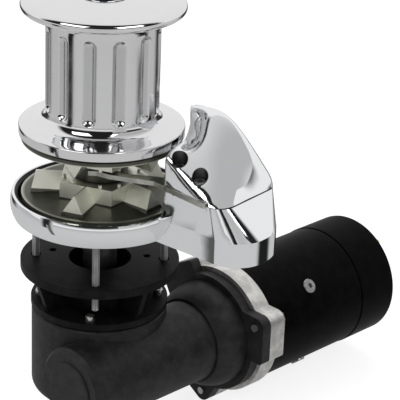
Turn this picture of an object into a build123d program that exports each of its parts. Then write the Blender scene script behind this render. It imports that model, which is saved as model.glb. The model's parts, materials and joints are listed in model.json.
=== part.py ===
from build123d import *
import math
import os

# Anchor windlass. Millimetres, +Z up. The deck is the plane Z = 0 and the main shaft stands on
# the Z axis. The motor lies along +Y below the deck, and the chain hood is on the +X side.

# Fits
SLIP = 0.05  # radial gap of a shaft that turns in a bush, a bearing or a cone seat
APART = 0.3  # gap between faces that turn past each other
OVER = 1.0  # how far a cutting tool reaches past the face it starts from

# Base ring and well
RING_FOOT_R = 88.2
RING_BULGE_R = 91.6
RING_LIP_R = 90.0
RING_TOP = 24.0
WELL_R = 84.0
WELL_LIP_R = 86.4
WELL_LIP_DROP = 2.4
FLOOR_T = 8.0
HUB_R = 28.5
HUB_TOP = 18.0

# Studs that clamp the two halves of the windlass through the deck
STUD_R = 4.0
STUD_CORE_R = 3.4
STUD_EDGE = 0.6
STUD_HOLE_R = 5.25
STUD_OFFSET = 46.5
STUD_TOP = 16.0
STUD_BOTTOM = -78.0
STUD_BOSS_R = 9.0
STUD_BOSS_TOP = 18.0

# Chain hood, drawn in its own frame, which is turned from the motor's
HOOD_TURN = 7.0
PARTING = 57.0
HOOD_NEAR = -18.0
HOOD_FAR = 70.0
HOOD_FACET = 25.0
HOOD_START = 50.0
HOOD_CLEAR_R = 93.0
HORN_R = 89.0
HORN_BASE = 112.0
HORN_TOP = 124.0
HOOD_ROOF = 150.0

# Plan of the hood at the deck and at the parting: where its end wall stands, its near and far
# corner radii, and how far its near wall draws in towards the drum
HOOD_AT_DECK = (193.5, 33.0, 49.0, 3.0)
HOOD_AT_PARTING = (167.8, 16.0, 11.0, 12.0)

# Heights of the dome over the parting plane, at each step across the hood.
# Each row is the step across, then the height at the stations along the hood.
DOME_STATIONS = (0.0, 0.28, 0.46, 0.62, 0.78, 0.90, 0.97)
DOME_ROWS = (
    (HOOD_NEAR, (46.0, 36.0, 26.5, 14.0, 6.0, 2.5, 1.0)),
    (HOOD_NEAR + 3.5, (50.0, 41.0, 31.5, 20.5, 12.0, 6.0, 2.5)),
    (HOOD_NEAR + 14.0, (48.0, 43.0, 35.5, 26.5, 18.0, 10.0, 3.6)),
    (HOOD_NEAR + 38.0, (40.0, 45.5, 50.0, 43.0, 29.5, 15.5, 5.2)),
    (HOOD_FAR - 35.0, (54.0, 65.5, 63.5, 53.5, 37.5, 20.5, 7.2)),
    (HOOD_FAR - 20.0, (50.0, 65.5, 67.0, 58.5, 42.0, 25.0, 9.5)),
    (HOOD_FAR - 6.0, (44.0, 59.5, 57.5, 48.0, 33.0, 20.0, 10.0)),
    (HOOD_FAR, (36.0, 49.0, 45.5, 36.0, 22.5, 12.0, 5.5)),
)

# Chain space inside the hood, and the pipe through the deck
CHAIN_SPACE_END = 157.0
CHAIN_SPACE_NEAR = 9.0
CHAIN_SPACE_FAR = 63.0
CHAIN_SPACE_CORNER = 8.0
COVER_SPACE_NEAR = 24.0
COVER_SPACE = ((HOOD_START, PARTING), (CHAIN_SPACE_END - 6.0, PARTING), (146.0, 62.0),
               (120.0, 87.0), (96.0, 98.0), (HOOD_START, 100.0))
CHAIN_PIPE_AT = (128.0, 36.0)
CHAIN_PIPE_LENGTH = 50.0
CHAIN_PIPE_WIDTH = 44.0
CHAIN_PIPE_CORNER = 20.0

# Cover screws: place along and across the hood, and the height of the head seat
COVER_SCREWS = ((104.0, -4.0, 74.0), (129.5, -4.0, 66.0))
COVER_SCREW_R = 4.0
COVER_SCREW_HEAD_R = 6.5
COVER_SCREW_HEAD_T = 8.0
COVER_SCREW_KEY_R = 3.4
COVER_SCREW_KEY_DEPTH = 4.0
COVER_SCREW_LENGTH = 34.0
COUNTERBORE_R = 7.8

# Chain stripper, a bar clamped in the parting plane
STRIPPER_T = 5.0
STRIPPER_OUTLINE = ((146.0, -19.2), (77.0, -9.8), (35.5, -27.3), (20.0, -29.5), (13.2, -34.9),
                    (11.4, -29.2), (24.0, -21.5), (46.0, -13.0), (78.0, 5.0), (146.0, 5.0),
                    (151.0, -10.0))

# Gypsy for 12 mm chain
POCKETS = 5
RIDGE_TURN = 7.0
GYPSY_MID = 53.0
GYPSY_R = 80.5
CHEEK_T = 4.0
CHEEK_REACH = 29.0
CHEEK_DISH = 1.6
TEETH_GAP = 20.0
HUB_FLAT = 38.8
GROOVE_R = 27.0
RIDGE_OUTER_R = 66.0
RIDGE_FOOT_R = 70.5
RIDGE_HALF_FOOT = 13.0
RIDGE_HALF_TOP = 0.5
NUB = 3.0
NUB_SPREAD = 9.5

# Clutch cones above and below the gypsy
CONE_WIDE_R = 33.0
CONE_NARROW_R = 27.0
CONE_T = 20.0
CONE_MARGIN = 1.0

# Main shaft
SHAFT_R = 17.5
SHAFT_FOOT_R = 12.5
SHAFT_STUB_R = 14.0
SHAFT_COLLAR_R = 22.0
COLLAR_BOTTOM = 18.6
WHEEL_COLLAR_R = 21.0
WHEEL_COLLAR_T = 5.0
SHAFT_SHOULDER = 199.0
SHAFT_TOP = 214.0
BUSH_R = 22.0
BUSH_TOP = 12.0
SEAL_TOP = 17.0
KEY_W = 6.0
KEY_BOTTOM_R = 14.5
KEY_TOP_R = 20.3

# Drum
DRUM_BOTTOM = 87.5
DRUM_FLANGE_R = 83.0
DRUM_FLANGE_T = 11.0
DRUM_FLANGE_EDGE = 1.5
DRUM_FLANGE_SLOPE = 3.0
WAIST_R = 56.5
WAIST_BOTTOM = 110.0
WAIST_TOP = 205.0
ROOT_R = 66.0
ROOT_MID = (2.7, 5.8)
SHOULDER_R = 67.0
SHOULDER_RISE = 9.5
SHOULDER_MID = (3.0, 6.5)
DRUM_LIP_R = 81.4
DRUM_LIP_Z = 220.5
DRUM_LIP_ROUND = 5.5
CROWN_MID = (52.0, 228.2)
DRUM_TOP = 230.0
DRUM_HUB_R = 28.0
DRUM_SHELL_R = 46.0
DRUM_ROOF = 196.0
FLUTES = 12
FLUTE_TURN = 5.0
FLUTE_R = 8.0
FLUTE_AXIS_R = 60.0
FLUTE_BOTTOM = 120.7
FLUTE_TOP = 193.3

# Clutch nut, turned with a handle to free the gypsy
NUT_R = 23.0
NUT_BOTTOM = 200.3
NUT_TOP = 233.0
NUT_EDGE = 3.0
NUT_POCKET_R = 24.5
NUT_POCKET_FLOOR = 200.0
NUT_BORE_TOP = 215.0
SOCKET_FLOOR = 218.0
SOCKET_SIDE = 17.5

# Deck flange
FLANGE_TOP = -50.0
FLANGE_PLATE_T = 9.0
FLANGE_R = 81.5
FLANGE_FOOT_TOP = -93.0
FLANGE_FOOT_BOTTOM = -100.0
FLANGE_FOOT_R = 70.7
FLANGE_BORE_R = 32.0
FLANGE_TUBE_R = 38.0
FLANGE_WEBS = 4
WEB_TURN = -5.0
WEB_T = 6.0
WEB_TOP_R = 78.5
WEB_FOOT_R = 66.5
SPIGOT_R = 45.9
SPIGOT_BOTTOM = -107.0
SPARE_HOLES = ((-42.6, -27.1), (30.3, 37.7))
SPARE_HOLE_R = 3.6

# Screws that hold the deck flange on the gearbox
GEAR_SCREW_ANGLES = (50.0, 130.0, 230.0, 310.0)
GEAR_SCREW_CIRCLE_R = 61.0
GEAR_SCREW_R = 3.0
GEAR_SCREW_HEAD_R = 5.0
GEAR_SCREW_HEAD_T = 6.0
GEAR_SCREW_KEY_R = 2.8
GEAR_SCREW_KEY_DEPTH = 3.0
GEAR_SCREW_END = -120.0

# Worm and wheel
MODULE = 2.0
WHEEL_TEETH = 38
WORM_PITCH_R = 12.0
WHEEL_PITCH_R = MODULE * WHEEL_TEETH / 2
WORM_X = WHEEL_PITCH_R + WORM_PITCH_R
WORM_Z = -156.0
ADDENDUM = MODULE
DEDENDUM = 1.25 * MODULE
BACKLASH = 0.5
PRESSURE_ANGLE = 20.0
WHEEL_HALF_FACE = 7.0
WHEEL_HUB_R = 27.0
WHEEL_HUB_HALF = 14.0
CIRCLIP_T = 2.0
CIRCLIP_R = 21.5
CIRCLIP_GROOVE = 1.2
WORM_HALF_LENGTH = 22.0

# Gearbox housing
BARREL_R = 70.0
BARREL_RIM = -102.0
BARREL_BOTTOM = -198.0
BARREL_EDGE = 12.0
BARREL_RIM_EDGE = 3.0
BARREL_SPIGOT_R = 67.0
WHEEL_ROOM_R = 46.0
WHEEL_ROOM_FLOOR = -174.0
WORM_TUBE_R = 44.0
WORM_TUBE_START = -82.0
WORM_TUBE_END = 84.0
WORM_TUBE_EDGE = 4.0
WORM_ROOM_R = 20.0
BELL_ROOM_R = 40.0
BELL_ROOM_START = 92.0
FLANGE_FRONT = 113.0
FLANGE_JOINT = 125.0
BELL_NECK = 2.5
BELL_RIM = 7.0
EAR_LOW = -9.0
EAR_HIGH = 43.0
EAR_CORNER = 11.0
EAR_CORNER_LOW = 4.0
EARS = 3

# Bearings and seals on the worm and motor shafts: inner and outer radius, start and end
WORM_FRONT_BEARING = (8.0, 20.0, -74.0, -60.0)
WORM_REAR_BEARING = (10.0, 23.5, 54.0, 68.0)
WORM_SEAL = (10.0, 20.0, 72.0, 79.0)
MOTOR_FRONT_BEARING = (10.0, 23.5, 128.0, 142.0)
BEARING_LIP = 4.0
TOP_BEARING = (SHAFT_R, 31.0, SPIGOT_BOTTOM, FLANGE_FOOT_TOP)
BOTTOM_BEARING = (SHAFT_FOOT_R, 26.0, -190.0, -176.0)
END_CAP_R = 30.0
END_CAP_SEAT = -78.0
END_CAP_FACE = -84.0
END_CAP_EDGE = 1.2

# Motor, from the shell outwards: flanges, ears and bolts
MOTOR_START = 146.0
MOTOR_R = 67.0
MOTOR_WALL = 5.0
SHELL_LENGTH = 140.0
MOTOR_SPLIT = MOTOR_START + SHELL_LENGTH
SPLIT_GAP = 0.8
MOTOR_FLANGE_R = MOTOR_R + 3.0
GEAR_FLANGE_R = MOTOR_R - 2.0
EAR_REACH = MOTOR_R + 12.5
FLANGE_BOLT_CIRCLE_R = MOTOR_R + 8.0
FLANGE_BOLT_ANGLE = 25.0
FLANGE_BOLT_R = 4.0
FLANGE_BOLT_TIP = 110.5
FLANGE_BOLT_HEAD_T = 5.5
FLANGE_BOLT_HEAD_R = 7.5

# Motor end cap and what it carries
CAP_PROUD = 0.8
CAP_R = MOTOR_R + CAP_PROUD
CAP_EDGE = 3.0
CAP_WALL = 3.0
CAP_LENGTH = 55.0
MOTOR_END = MOTOR_SPLIT + CAP_LENGTH
CAP_FLOOR = 8.0
CAP_ROOM_END = MOTOR_END - CAP_FLOOR
CAP_BOSS_R = 25.0
BEARING_DEPTH = 3.0
MOTOR_REAR_BEARING = (8.0, 17.5, CAP_ROOM_END - BEARING_DEPTH - 12.0, CAP_ROOM_END - BEARING_DEPTH)
END_PLAY = 1.0
TERMINAL_R = 4.0
TERMINAL_OFFSET = 38.0
TERMINAL_SPREAD = 20.0
TERMINAL_END = MOTOR_END + 21.0
TERMINAL_NUT_R = 7.5
TERMINAL_NUT_T = 6.0

# Poles, armature and brushes
POLES = 4
POLE_ANGLE = 39.0
POLE_START = MOTOR_START + 20.0
POLE_END = MOTOR_SPLIT - 28.0
POLE_DEPTH = 17.5
POLE_INNER_R = MOTOR_R - MOTOR_WALL - POLE_DEPTH
POLE_SPAN = 56.0
COIL_T = 5.0
POLE_SCREW_R = 4.5
POLE_SCREW_HEAD_R = 8.0
POLE_SCREW_HEAD_T = 4.0
POLE_SCREW_SOCKET_R = 3.4
ROTOR_GAP = 0.7
ARMATURE_R = POLE_INNER_R - ROTOR_GAP
ARMATURE_SLOTS = 16
SLOT_W = 5.0
SLOT_DEPTH = 12.0
WINDING_OVERHANG = 8.0
MOTOR_SHAFT_R = 10.0
COMMUTATOR_R = 22.0
COMMUTATOR_START = MOTOR_SPLIT - 14.0
COMMUTATOR_END = MOTOR_SPLIT + 14.0
BRUSH_W = 12.0
BRUSH_LENGTH = 18.0
BRUSH_OUTER_R = COMMUTATOR_R + 22.0
BRUSH_PLATE_Y = COMMUTATOR_END + 2.0
BRUSH_PLATE_T = 3.0
BRUSH_PLATE_INNER_R = CAP_BOSS_R + 1.0
COUPLING_R = 17.0
COUPLING_START = 96.0
COUPLING_END = 120.0
COUPLING_SPLIT = 107.0

UP = (Align.CENTER, Align.CENTER, Align.MIN)
MOTOR_AXIS = Axis((WORM_X, 0, WORM_Z), (0, 1, 0))


# Helpers
def post(radius, bottom, top):
    """Upright round bar on the Z axis."""
    return Pos(0, 0, bottom) * Cylinder(radius, top - bottom, align=UP)


def tube(inner, outer, bottom, top):
    """Upright tube on the Z axis."""
    return post(outer, bottom, top) - post(inner, bottom - OVER, top + OVER)


def turned(points):
    """Solid turned about the Z axis from (radius, height) points."""
    return revolve(Plane.XZ * make_face(Polyline(*points, close=True)), Axis.Z)


def motor_turned(points):
    """Solid turned about the motor axis from (radius, distance along Y) points."""
    face = make_face(Polyline(*points, close=True))
    return revolve(Pos(WORM_X, 0, WORM_Z) * face, MOTOR_AXIS)


def motor_bar(radius, start, end):
    """Round bar on the motor axis."""
    return motor_turned(((0, start), (radius, start), (radius, end), (0, end)))


def motor_ring(inner, outer, start, end):
    """Ring on the motor axis."""
    return motor_turned(((inner, start), (outer, start), (outer, end), (inner, end)))


def across_motor(sketch, start, end):
    """Push a sketch along the motor axis. Its X stays X and its Y points up."""
    plane = Plane(origin=(WORM_X, start, WORM_Z), x_dir=(1, 0, 0), z_dir=(0, -1, 0))
    return extrude(plane * sketch, amount=start - end)


def around_motor(solid, angle):
    """Turn a solid about the motor axis, counted from +X towards up."""
    return solid.rotate(MOTOR_AXIS, -angle)


def in_hood(solid):
    """Place a solid drawn in the hood's frame."""
    return Rot(Z=HOOD_TURN) * solid


def slab(points, bottom, top):
    """Flat plate with a polygon outline."""
    return Pos(0, 0, bottom) * extrude(make_face(Polyline(*points, close=True)), amount=top - bottom)


def polar(radius, angle):
    """Point in plan at a radius and an angle."""
    return radius * math.cos(math.radians(angle)), radius * math.sin(math.radians(angle))


def stud_places():
    """Corners of the square on which the deck studs stand."""
    return [(x * STUD_OFFSET, y * STUD_OFFSET) for x in (-1, 1) for y in (-1, 1)]


def gear_screw_places():
    """Centres of the screws between deck flange and gearbox."""
    return [polar(GEAR_SCREW_CIRCLE_R, angle) for angle in GEAR_SCREW_ANGLES]


# Base housing and hood
def hood_outline(end, near_corner, far_corner, draw_in):
    """Plan of the hood at one level."""
    corners = ((HOOD_START, HOOD_NEAR + draw_in), (end, HOOD_NEAR), (end, HOOD_FAR), (HOOD_START, HOOD_FAR))
    plan = make_face(Polyline(*corners, close=True))
    plan = fillet(plan.vertices().group_by(Axis.X)[-1].sort_by(Axis.Y)[0], near_corner)
    return fillet(plan.vertices().group_by(Axis.Y)[-1].sort_by(Axis.X)[-1], far_corner)


def lower_hood():
    """Lower half of the hood: upright walls, drawn in above the facet's edge."""
    deck = hood_outline(*HOOD_AT_DECK)
    parting = hood_outline(*HOOD_AT_PARTING)
    walls = extrude(deck, amount=HOOD_FACET)
    return walls + loft([Pos(0, 0, HOOD_FACET) * deck, Pos(0, 0, PARTING) * parting], ruled=True)


def chain_space(bottom, top):
    """Room for the chain in the hood, in the hood's frame."""
    length = CHAIN_SPACE_END - HOOD_START
    width = CHAIN_SPACE_FAR - CHAIN_SPACE_NEAR
    centre = Pos(HOOD_START + length / 2, CHAIN_SPACE_NEAR + width / 2)
    plan = centre * RectangleRounded(length, width, CHAIN_SPACE_CORNER)
    return Pos(0, 0, bottom) * extrude(plan, amount=top - bottom)


def chain_pipe():
    """Cut for the pipe that takes the chain through the deck."""
    plan = Pos(*CHAIN_PIPE_AT) * RectangleRounded(CHAIN_PIPE_LENGTH, CHAIN_PIPE_WIDTH, CHAIN_PIPE_CORNER)
    return Pos(0, 0, -OVER) * extrude(plan, amount=FLOOR_T + 2 * OVER)


def stripper_blank():
    """Outline of the stripper as a solid, also used for its seats."""
    half = STRIPPER_T / 2
    return slab(STRIPPER_OUTLINE, PARTING - half, PARTING + half)


def ring_body():
    """Ring with a bulging wall, the floor of the well and the shaft hub."""
    wall = ThreePointArc((RING_FOOT_R, 0), (RING_BULGE_R, RING_TOP / 2), (RING_LIP_R, RING_TOP))
    inside = Polyline((RING_LIP_R, RING_TOP), (WELL_LIP_R, RING_TOP),
                      (WELL_R, RING_TOP - WELL_LIP_DROP), (WELL_R, FLOOR_T), (HUB_R, FLOOR_T),
                      (HUB_R, HUB_TOP), (BUSH_R, HUB_TOP), (BUSH_R, 0), (RING_FOOT_R, 0))
    return revolve(Plane.XZ * make_face(wall + inside), Axis.Z)


def base_housing():
    hood = lower_hood()
    hood -= post(WELL_R, FLOOR_T, PARTING + OVER)
    hood -= post(HUB_R, -OVER, PARTING + OVER)
    hood -= post(HOOD_CLEAR_R, RING_TOP, PARTING + OVER)
    hood -= chain_space(FLOOR_T, RING_TOP) - post(RING_LIP_R, 0, RING_TOP)
    hood -= chain_space(RING_TOP, PARTING + OVER)
    hood -= chain_pipe()
    hood -= stripper_blank()
    for along, across, seat in COVER_SCREWS:
        hood -= Pos(along, across) * post(COVER_SCREW_R, seat - COVER_SCREW_LENGTH, PARTING + OVER)
    body = ring_body() + in_hood(hood)
    for x, y in stud_places():
        body += Pos(x, y) * post(STUD_BOSS_R, 0, STUD_BOSS_TOP)
    tapped = turned(((0, -OVER), (STUD_R + OVER + APART, -OVER), (STUD_CORE_R, STUD_EDGE + APART),
                     (STUD_CORE_R, STUD_TOP), (0, STUD_TOP)))
    for x, y in stud_places():
        body -= Pos(x, y) * tapped
    return body


def hood_end_at(across):
    """How far the hood reaches along its length at the parting plane."""
    end, near_corner, far_corner, _ = HOOD_AT_PARTING
    inset = max(HOOD_NEAR + near_corner - across, 0.0)
    corner = near_corner
    if across > HOOD_FAR - far_corner:
        inset = across - (HOOD_FAR - far_corner)
        corner = far_corner
    return end - corner + math.sqrt(corner ** 2 - inset ** 2)


def dome_section(across, heights):
    """Upright slice of the dome. The slices fan out from the near wall to the far one."""
    end = hood_end_at(across)
    length = end - HOOD_START
    points = [(station * length, PARTING + height) for station, height in zip(DOME_STATIONS, heights)]
    points.append((length, PARTING))
    roof = Spline(*points)
    rest = Polyline((length, PARTING), (0, PARTING), points[0])
    fan = (HOOD_FAR - across) / (HOOD_FAR - HOOD_NEAR)
    draw_in = fan * HOOD_AT_PARTING[-1] * length / (HOOD_AT_PARTING[0] - HOOD_START)
    along = Vector(length, -draw_in, 0).normalized()
    plane = Plane(origin=(HOOD_START, across + draw_in, 0), x_dir=along, z_dir=along.cross(Vector(0, 0, 1)))
    return plane * make_face(roof + rest)


def cover_screw_cut(along, across, seat):
    """Clearance hole with a deep counterbore from above."""
    hole = post(COVER_SCREW_R, PARTING - OVER, seat)
    counterbore = post(COUNTERBORE_R, seat, HOOD_ROOF)
    return Pos(along, across) * (hole + counterbore)


def drum_clearance():
    """Round cut about the shaft, narrowed at the top to leave the hood's lip."""
    return turned(((0, PARTING - OVER), (HOOD_CLEAR_R, PARTING - OVER), (HOOD_CLEAR_R, HORN_BASE),
                   (HORN_R, HORN_TOP), (HORN_R, HOOD_ROOF), (0, HOOD_ROOF)))


def hood_cover():
    dome = loft([dome_section(across, heights) for across, heights in DOME_ROWS])
    dome -= drum_clearance()
    profile = Plane.XZ * make_face(Polyline(*COVER_SPACE, close=True))
    room = extrude(profile, amount=COVER_SPACE_NEAR - CHAIN_SPACE_FAR)
    dome -= Pos(0, COVER_SPACE_NEAR) * room
    dome -= stripper_blank()
    for along, across, seat in COVER_SCREWS:
        dome -= cover_screw_cut(along, across, seat)
    return in_hood(dome)


def cover_screws():
    screws = []
    for along, across, seat in COVER_SCREWS:
        screw = post(COVER_SCREW_R, seat - COVER_SCREW_LENGTH, seat)
        screw += post(COVER_SCREW_HEAD_R, seat, seat + COVER_SCREW_HEAD_T)
        key = extrude(RegularPolygon(COVER_SCREW_KEY_R, 6), amount=COVER_SCREW_KEY_DEPTH + OVER)
        screw -= Pos(0, 0, seat + COVER_SCREW_HEAD_T - COVER_SCREW_KEY_DEPTH) * key
        screws.append(in_hood(Pos(along, across) * screw))
    return Compound(children=screws)


def chain_stripper():
    bar = stripper_blank()
    for along, across, _ in COVER_SCREWS:
        bar -= Pos(along, across) * post(COVER_SCREW_R, 0, PARTING + STRIPPER_T)
    return in_hood(bar)


def deck_studs():
    """Studs at the thread's outer size, and at its core size where they are screwed in."""
    stud = turned(((0, STUD_BOTTOM), (STUD_R - STUD_EDGE, STUD_BOTTOM), (STUD_R, STUD_BOTTOM + STUD_EDGE),
                   (STUD_R, 0), (STUD_CORE_R, STUD_EDGE), (STUD_CORE_R, STUD_TOP), (0, STUD_TOP)))
    return Compound(children=[Pos(x, y) * stud for x, y in stud_places()])


# Gypsy
def cheek():
    """Lower cheek, slightly dished, with the pentagonal hub on top."""
    rim = GYPSY_MID - CHEEK_REACH
    return turned(((SHAFT_R + SLIP, rim - CHEEK_T), (GYPSY_R, rim - CHEEK_T), (GYPSY_R, rim),
                   (GYPSY_R - CHEEK_DISH, rim), (RIDGE_FOOT_R, rim - CHEEK_DISH / 2),
                   (HUB_FLAT, rim + CHEEK_DISH), (SHAFT_R + SLIP, rim + CHEEK_DISH)))


def pocket_hub():
    """Five-sided hub, each flat closing one chain pocket."""
    rim = GYPSY_MID - CHEEK_REACH
    teeth_top = GYPSY_MID - TEETH_GAP / 2
    hub = extrude(RegularPolygon(HUB_FLAT, POCKETS, major_radius=False), amount=teeth_top - rim)
    return Pos(0, 0, rim) * hub - post(SHAFT_R + SLIP, rim - OVER, teeth_top + OVER)


def ridge():
    """Roof-shaped tooth pointing along +X, with a sloping outer end."""
    foot = GYPSY_MID - CHEEK_REACH - CHEEK_DISH
    top = GYPSY_MID - TEETH_GAP / 2
    roof = make_face(Polyline((-RIDGE_HALF_FOOT, foot), (RIDGE_HALF_FOOT, foot),
                              (RIDGE_HALF_TOP, top), (-RIDGE_HALF_TOP, top), close=True))
    start = HUB_FLAT - RIDGE_HALF_FOOT
    body = extrude(Plane.YZ * roof, amount=RIDGE_FOOT_R)
    side = make_face(Polyline((start, foot), (RIDGE_FOOT_R, foot), (RIDGE_OUTER_R, top), (start, top),
                              close=True))
    return body & extrude(Plane.XZ * side, amount=RIDGE_HALF_FOOT, both=True)


def nubs():
    """Two small stops on the hub's top edge, in the middle of one pocket."""
    top = GYPSY_MID - TEETH_GAP / 2
    block = Pos(HUB_FLAT - NUB / 2, 0, top) * Box(NUB, NUB, NUB, align=UP)
    return [Pos(0, side * NUB_SPREAD) * block for side in (-1, 1)]


def gypsy_half():
    """Lower half of the gypsy, up to the groove for the stripper."""
    half = cheek() + pocket_hub().rotate(Axis.Z, 180 / POCKETS)
    for index in range(POCKETS):
        half += ridge().rotate(Axis.Z, index * 360 / POCKETS)
        for nub in nubs():
            half += nub.rotate(Axis.Z, (index + 0.5) * 360 / POCKETS)
    return half.rotate(Axis.Z, RIDGE_TURN)


def cone_seat():
    """Cut for the lower clutch cone."""
    under = GYPSY_MID - CHEEK_REACH - CHEEK_T - OVER
    bottom, top = lower_cone_span()
    return turned(((0, under), (CONE_WIDE_R + SLIP, under), (CONE_WIDE_R + SLIP, bottom),
                   (CONE_NARROW_R + SLIP, top + SLIP), (0, top + SLIP)))


def gypsy():
    lower = gypsy_half() - cone_seat()
    upper = lower.mirror(Plane.XY.offset(GYPSY_MID))
    gap = TEETH_GAP / 2
    groove_hub = tube(SHAFT_R + SLIP, GROOVE_R, GYPSY_MID - gap, GYPSY_MID + gap)
    return lower + groove_hub + upper


# Clutch, drum and main shaft
def key_bar(bottom, top):
    """Key in the +X side of the shaft."""
    height = KEY_TOP_R - KEY_BOTTOM_R
    return Pos(KEY_BOTTOM_R + height / 2, 0, bottom) * Box(height, KEY_W, top - bottom, align=UP)


def lower_cone_span():
    """Bottom and top of the lower clutch cone."""
    bottom = GYPSY_MID - CHEEK_REACH - CHEEK_T + CONE_MARGIN
    return bottom, bottom + CONE_T


def lower_cone():
    bottom, top = lower_cone_span()
    cone = turned(((SHAFT_R, bottom), (CONE_WIDE_R, bottom), (CONE_NARROW_R, top), (SHAFT_R, top)))
    return cone - key_bar(bottom - OVER, top + OVER)


def upper_cone():
    return lower_cone().mirror(Plane.XY.offset(GYPSY_MID))


def cone_keys():
    bottom, top = lower_cone_span()
    low = key_bar(bottom, top)
    return Compound(children=[low, low.mirror(Plane.XY.offset(GYPSY_MID))])


def drum_key_span():
    """Bottom and top of the key between drum and shaft."""
    return DRUM_BOTTOM + KEY_W, WAIST_BOTTOM + 2 * KEY_W


def wheel_span():
    """Bottom and top of the worm wheel's hub."""
    return WORM_Z - WHEEL_HUB_HALF, WORM_Z + WHEEL_HUB_HALF


def main_shaft():
    wheel_bottom, wheel_top = wheel_span()
    cone_bottom, _ = lower_cone_span()
    foot = BOTTOM_BEARING[2] + END_PLAY
    foot_r = SHAFT_FOOT_R - SLIP
    collar_top = wheel_top + WHEEL_COLLAR_T
    shaft = turned(((0, foot), (foot_r, foot), (foot_r, WHEEL_ROOM_FLOOR), (SHAFT_R, WHEEL_ROOM_FLOOR),
                    (SHAFT_R, wheel_top), (WHEEL_COLLAR_R, wheel_top), (WHEEL_COLLAR_R, collar_top),
                    (SHAFT_R, collar_top), (SHAFT_R, COLLAR_BOTTOM), (SHAFT_COLLAR_R, COLLAR_BOTTOM),
                    (SHAFT_COLLAR_R, cone_bottom), (SHAFT_R, cone_bottom), (SHAFT_R, SHAFT_SHOULDER),
                    (SHAFT_STUB_R, SHAFT_SHOULDER), (SHAFT_STUB_R, SHAFT_TOP), (0, SHAFT_TOP)))
    shaft -= tube(SHAFT_R - CIRCLIP_GROOVE, SHAFT_R + OVER, wheel_bottom - CIRCLIP_T, wheel_bottom)
    shaft -= key_bar(*wheel_key_span())
    shaft -= key_bar(*drum_key_span())
    for key in cone_keys().children:
        shaft -= key
    return shaft


def wheel_key_span():
    """Bottom and top of the key between worm wheel and shaft."""
    wheel_bottom, wheel_top = wheel_span()
    return wheel_bottom + CIRCLIP_T, wheel_top - CIRCLIP_T


def drum_outline():
    """Half section of the drum, from the lower flange over the waist to the crown."""
    edge = DRUM_FLANGE_EDGE
    flange_top = DRUM_BOTTOM + DRUM_FLANGE_T
    root_z = flange_top + DRUM_FLANGE_SLOPE
    shoulder_z = WAIST_TOP + SHOULDER_RISE
    lip_start = DRUM_LIP_R - DRUM_LIP_ROUND
    lip_low = DRUM_LIP_Z - DRUM_LIP_ROUND
    lip_high = DRUM_LIP_Z + DRUM_LIP_ROUND
    hub_bottom = 2 * GYPSY_MID - lower_cone_span()[0]
    flange = Polyline((DRUM_SHELL_R, DRUM_BOTTOM), (DRUM_FLANGE_R - edge, DRUM_BOTTOM),
                      (DRUM_FLANGE_R, DRUM_BOTTOM + edge), (DRUM_FLANGE_R, flange_top - edge),
                      (DRUM_FLANGE_R - edge, flange_top), (ROOT_R, root_z))
    root = ThreePointArc((ROOT_R, root_z), (WAIST_R + ROOT_MID[0], WAIST_BOTTOM - ROOT_MID[1]),
                         (WAIST_R, WAIST_BOTTOM))
    waist = Line((WAIST_R, WAIST_BOTTOM), (WAIST_R, WAIST_TOP))
    shoulder = ThreePointArc((WAIST_R, WAIST_TOP), (WAIST_R + SHOULDER_MID[0], WAIST_TOP + SHOULDER_MID[1]),
                             (SHOULDER_R, shoulder_z))
    under = Line((SHOULDER_R, shoulder_z), (lip_start, lip_low))
    lip = ThreePointArc((lip_start, lip_low), (DRUM_LIP_R, DRUM_LIP_Z), (lip_start, lip_high))
    crown = Spline((lip_start, lip_high), CROWN_MID, (NUT_POCKET_R, DRUM_TOP))
    inside = Polyline((NUT_POCKET_R, DRUM_TOP), (NUT_POCKET_R, NUT_POCKET_FLOOR), (SHAFT_R, NUT_POCKET_FLOOR),
                      (SHAFT_R, hub_bottom), (DRUM_HUB_R, hub_bottom), (DRUM_HUB_R, DRUM_ROOF),
                      (DRUM_SHELL_R, DRUM_ROOF), (DRUM_SHELL_R, DRUM_BOTTOM))
    return make_face(flange + root + waist + shoulder + under + lip + crown + inside)


def flute():
    """Cutter for one round-ended flute in the waist."""
    bar = post(FLUTE_R, FLUTE_BOTTOM, FLUTE_TOP)
    ends = Pos(0, 0, FLUTE_BOTTOM) * Sphere(FLUTE_R) + Pos(0, 0, FLUTE_TOP) * Sphere(FLUTE_R)
    return Pos(FLUTE_AXIS_R) * (bar + ends)


def drum():
    body = revolve(Plane.XZ * drum_outline(), Axis.Z)
    for index in range(FLUTES):
        body -= flute().rotate(Axis.Z, FLUTE_TURN + index * 360 / FLUTES)
    return body - key_bar(*drum_key_span())


def clutch_nut():
    nut = turned(((SHAFT_STUB_R + SLIP, NUT_BOTTOM), (NUT_R, NUT_BOTTOM), (NUT_R, NUT_TOP - NUT_EDGE),
                  (NUT_R - NUT_EDGE, NUT_TOP), (0, NUT_TOP), (0, NUT_BORE_TOP), (SHAFT_STUB_R + SLIP, NUT_BORE_TOP)))
    square = Rectangle(SOCKET_SIDE, SOCKET_SIDE)
    star = square + Rot(Z=45) * square
    return nut - Pos(0, 0, SOCKET_FLOOR) * extrude(star, amount=NUT_TOP - SOCKET_FLOOR + OVER)


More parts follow.
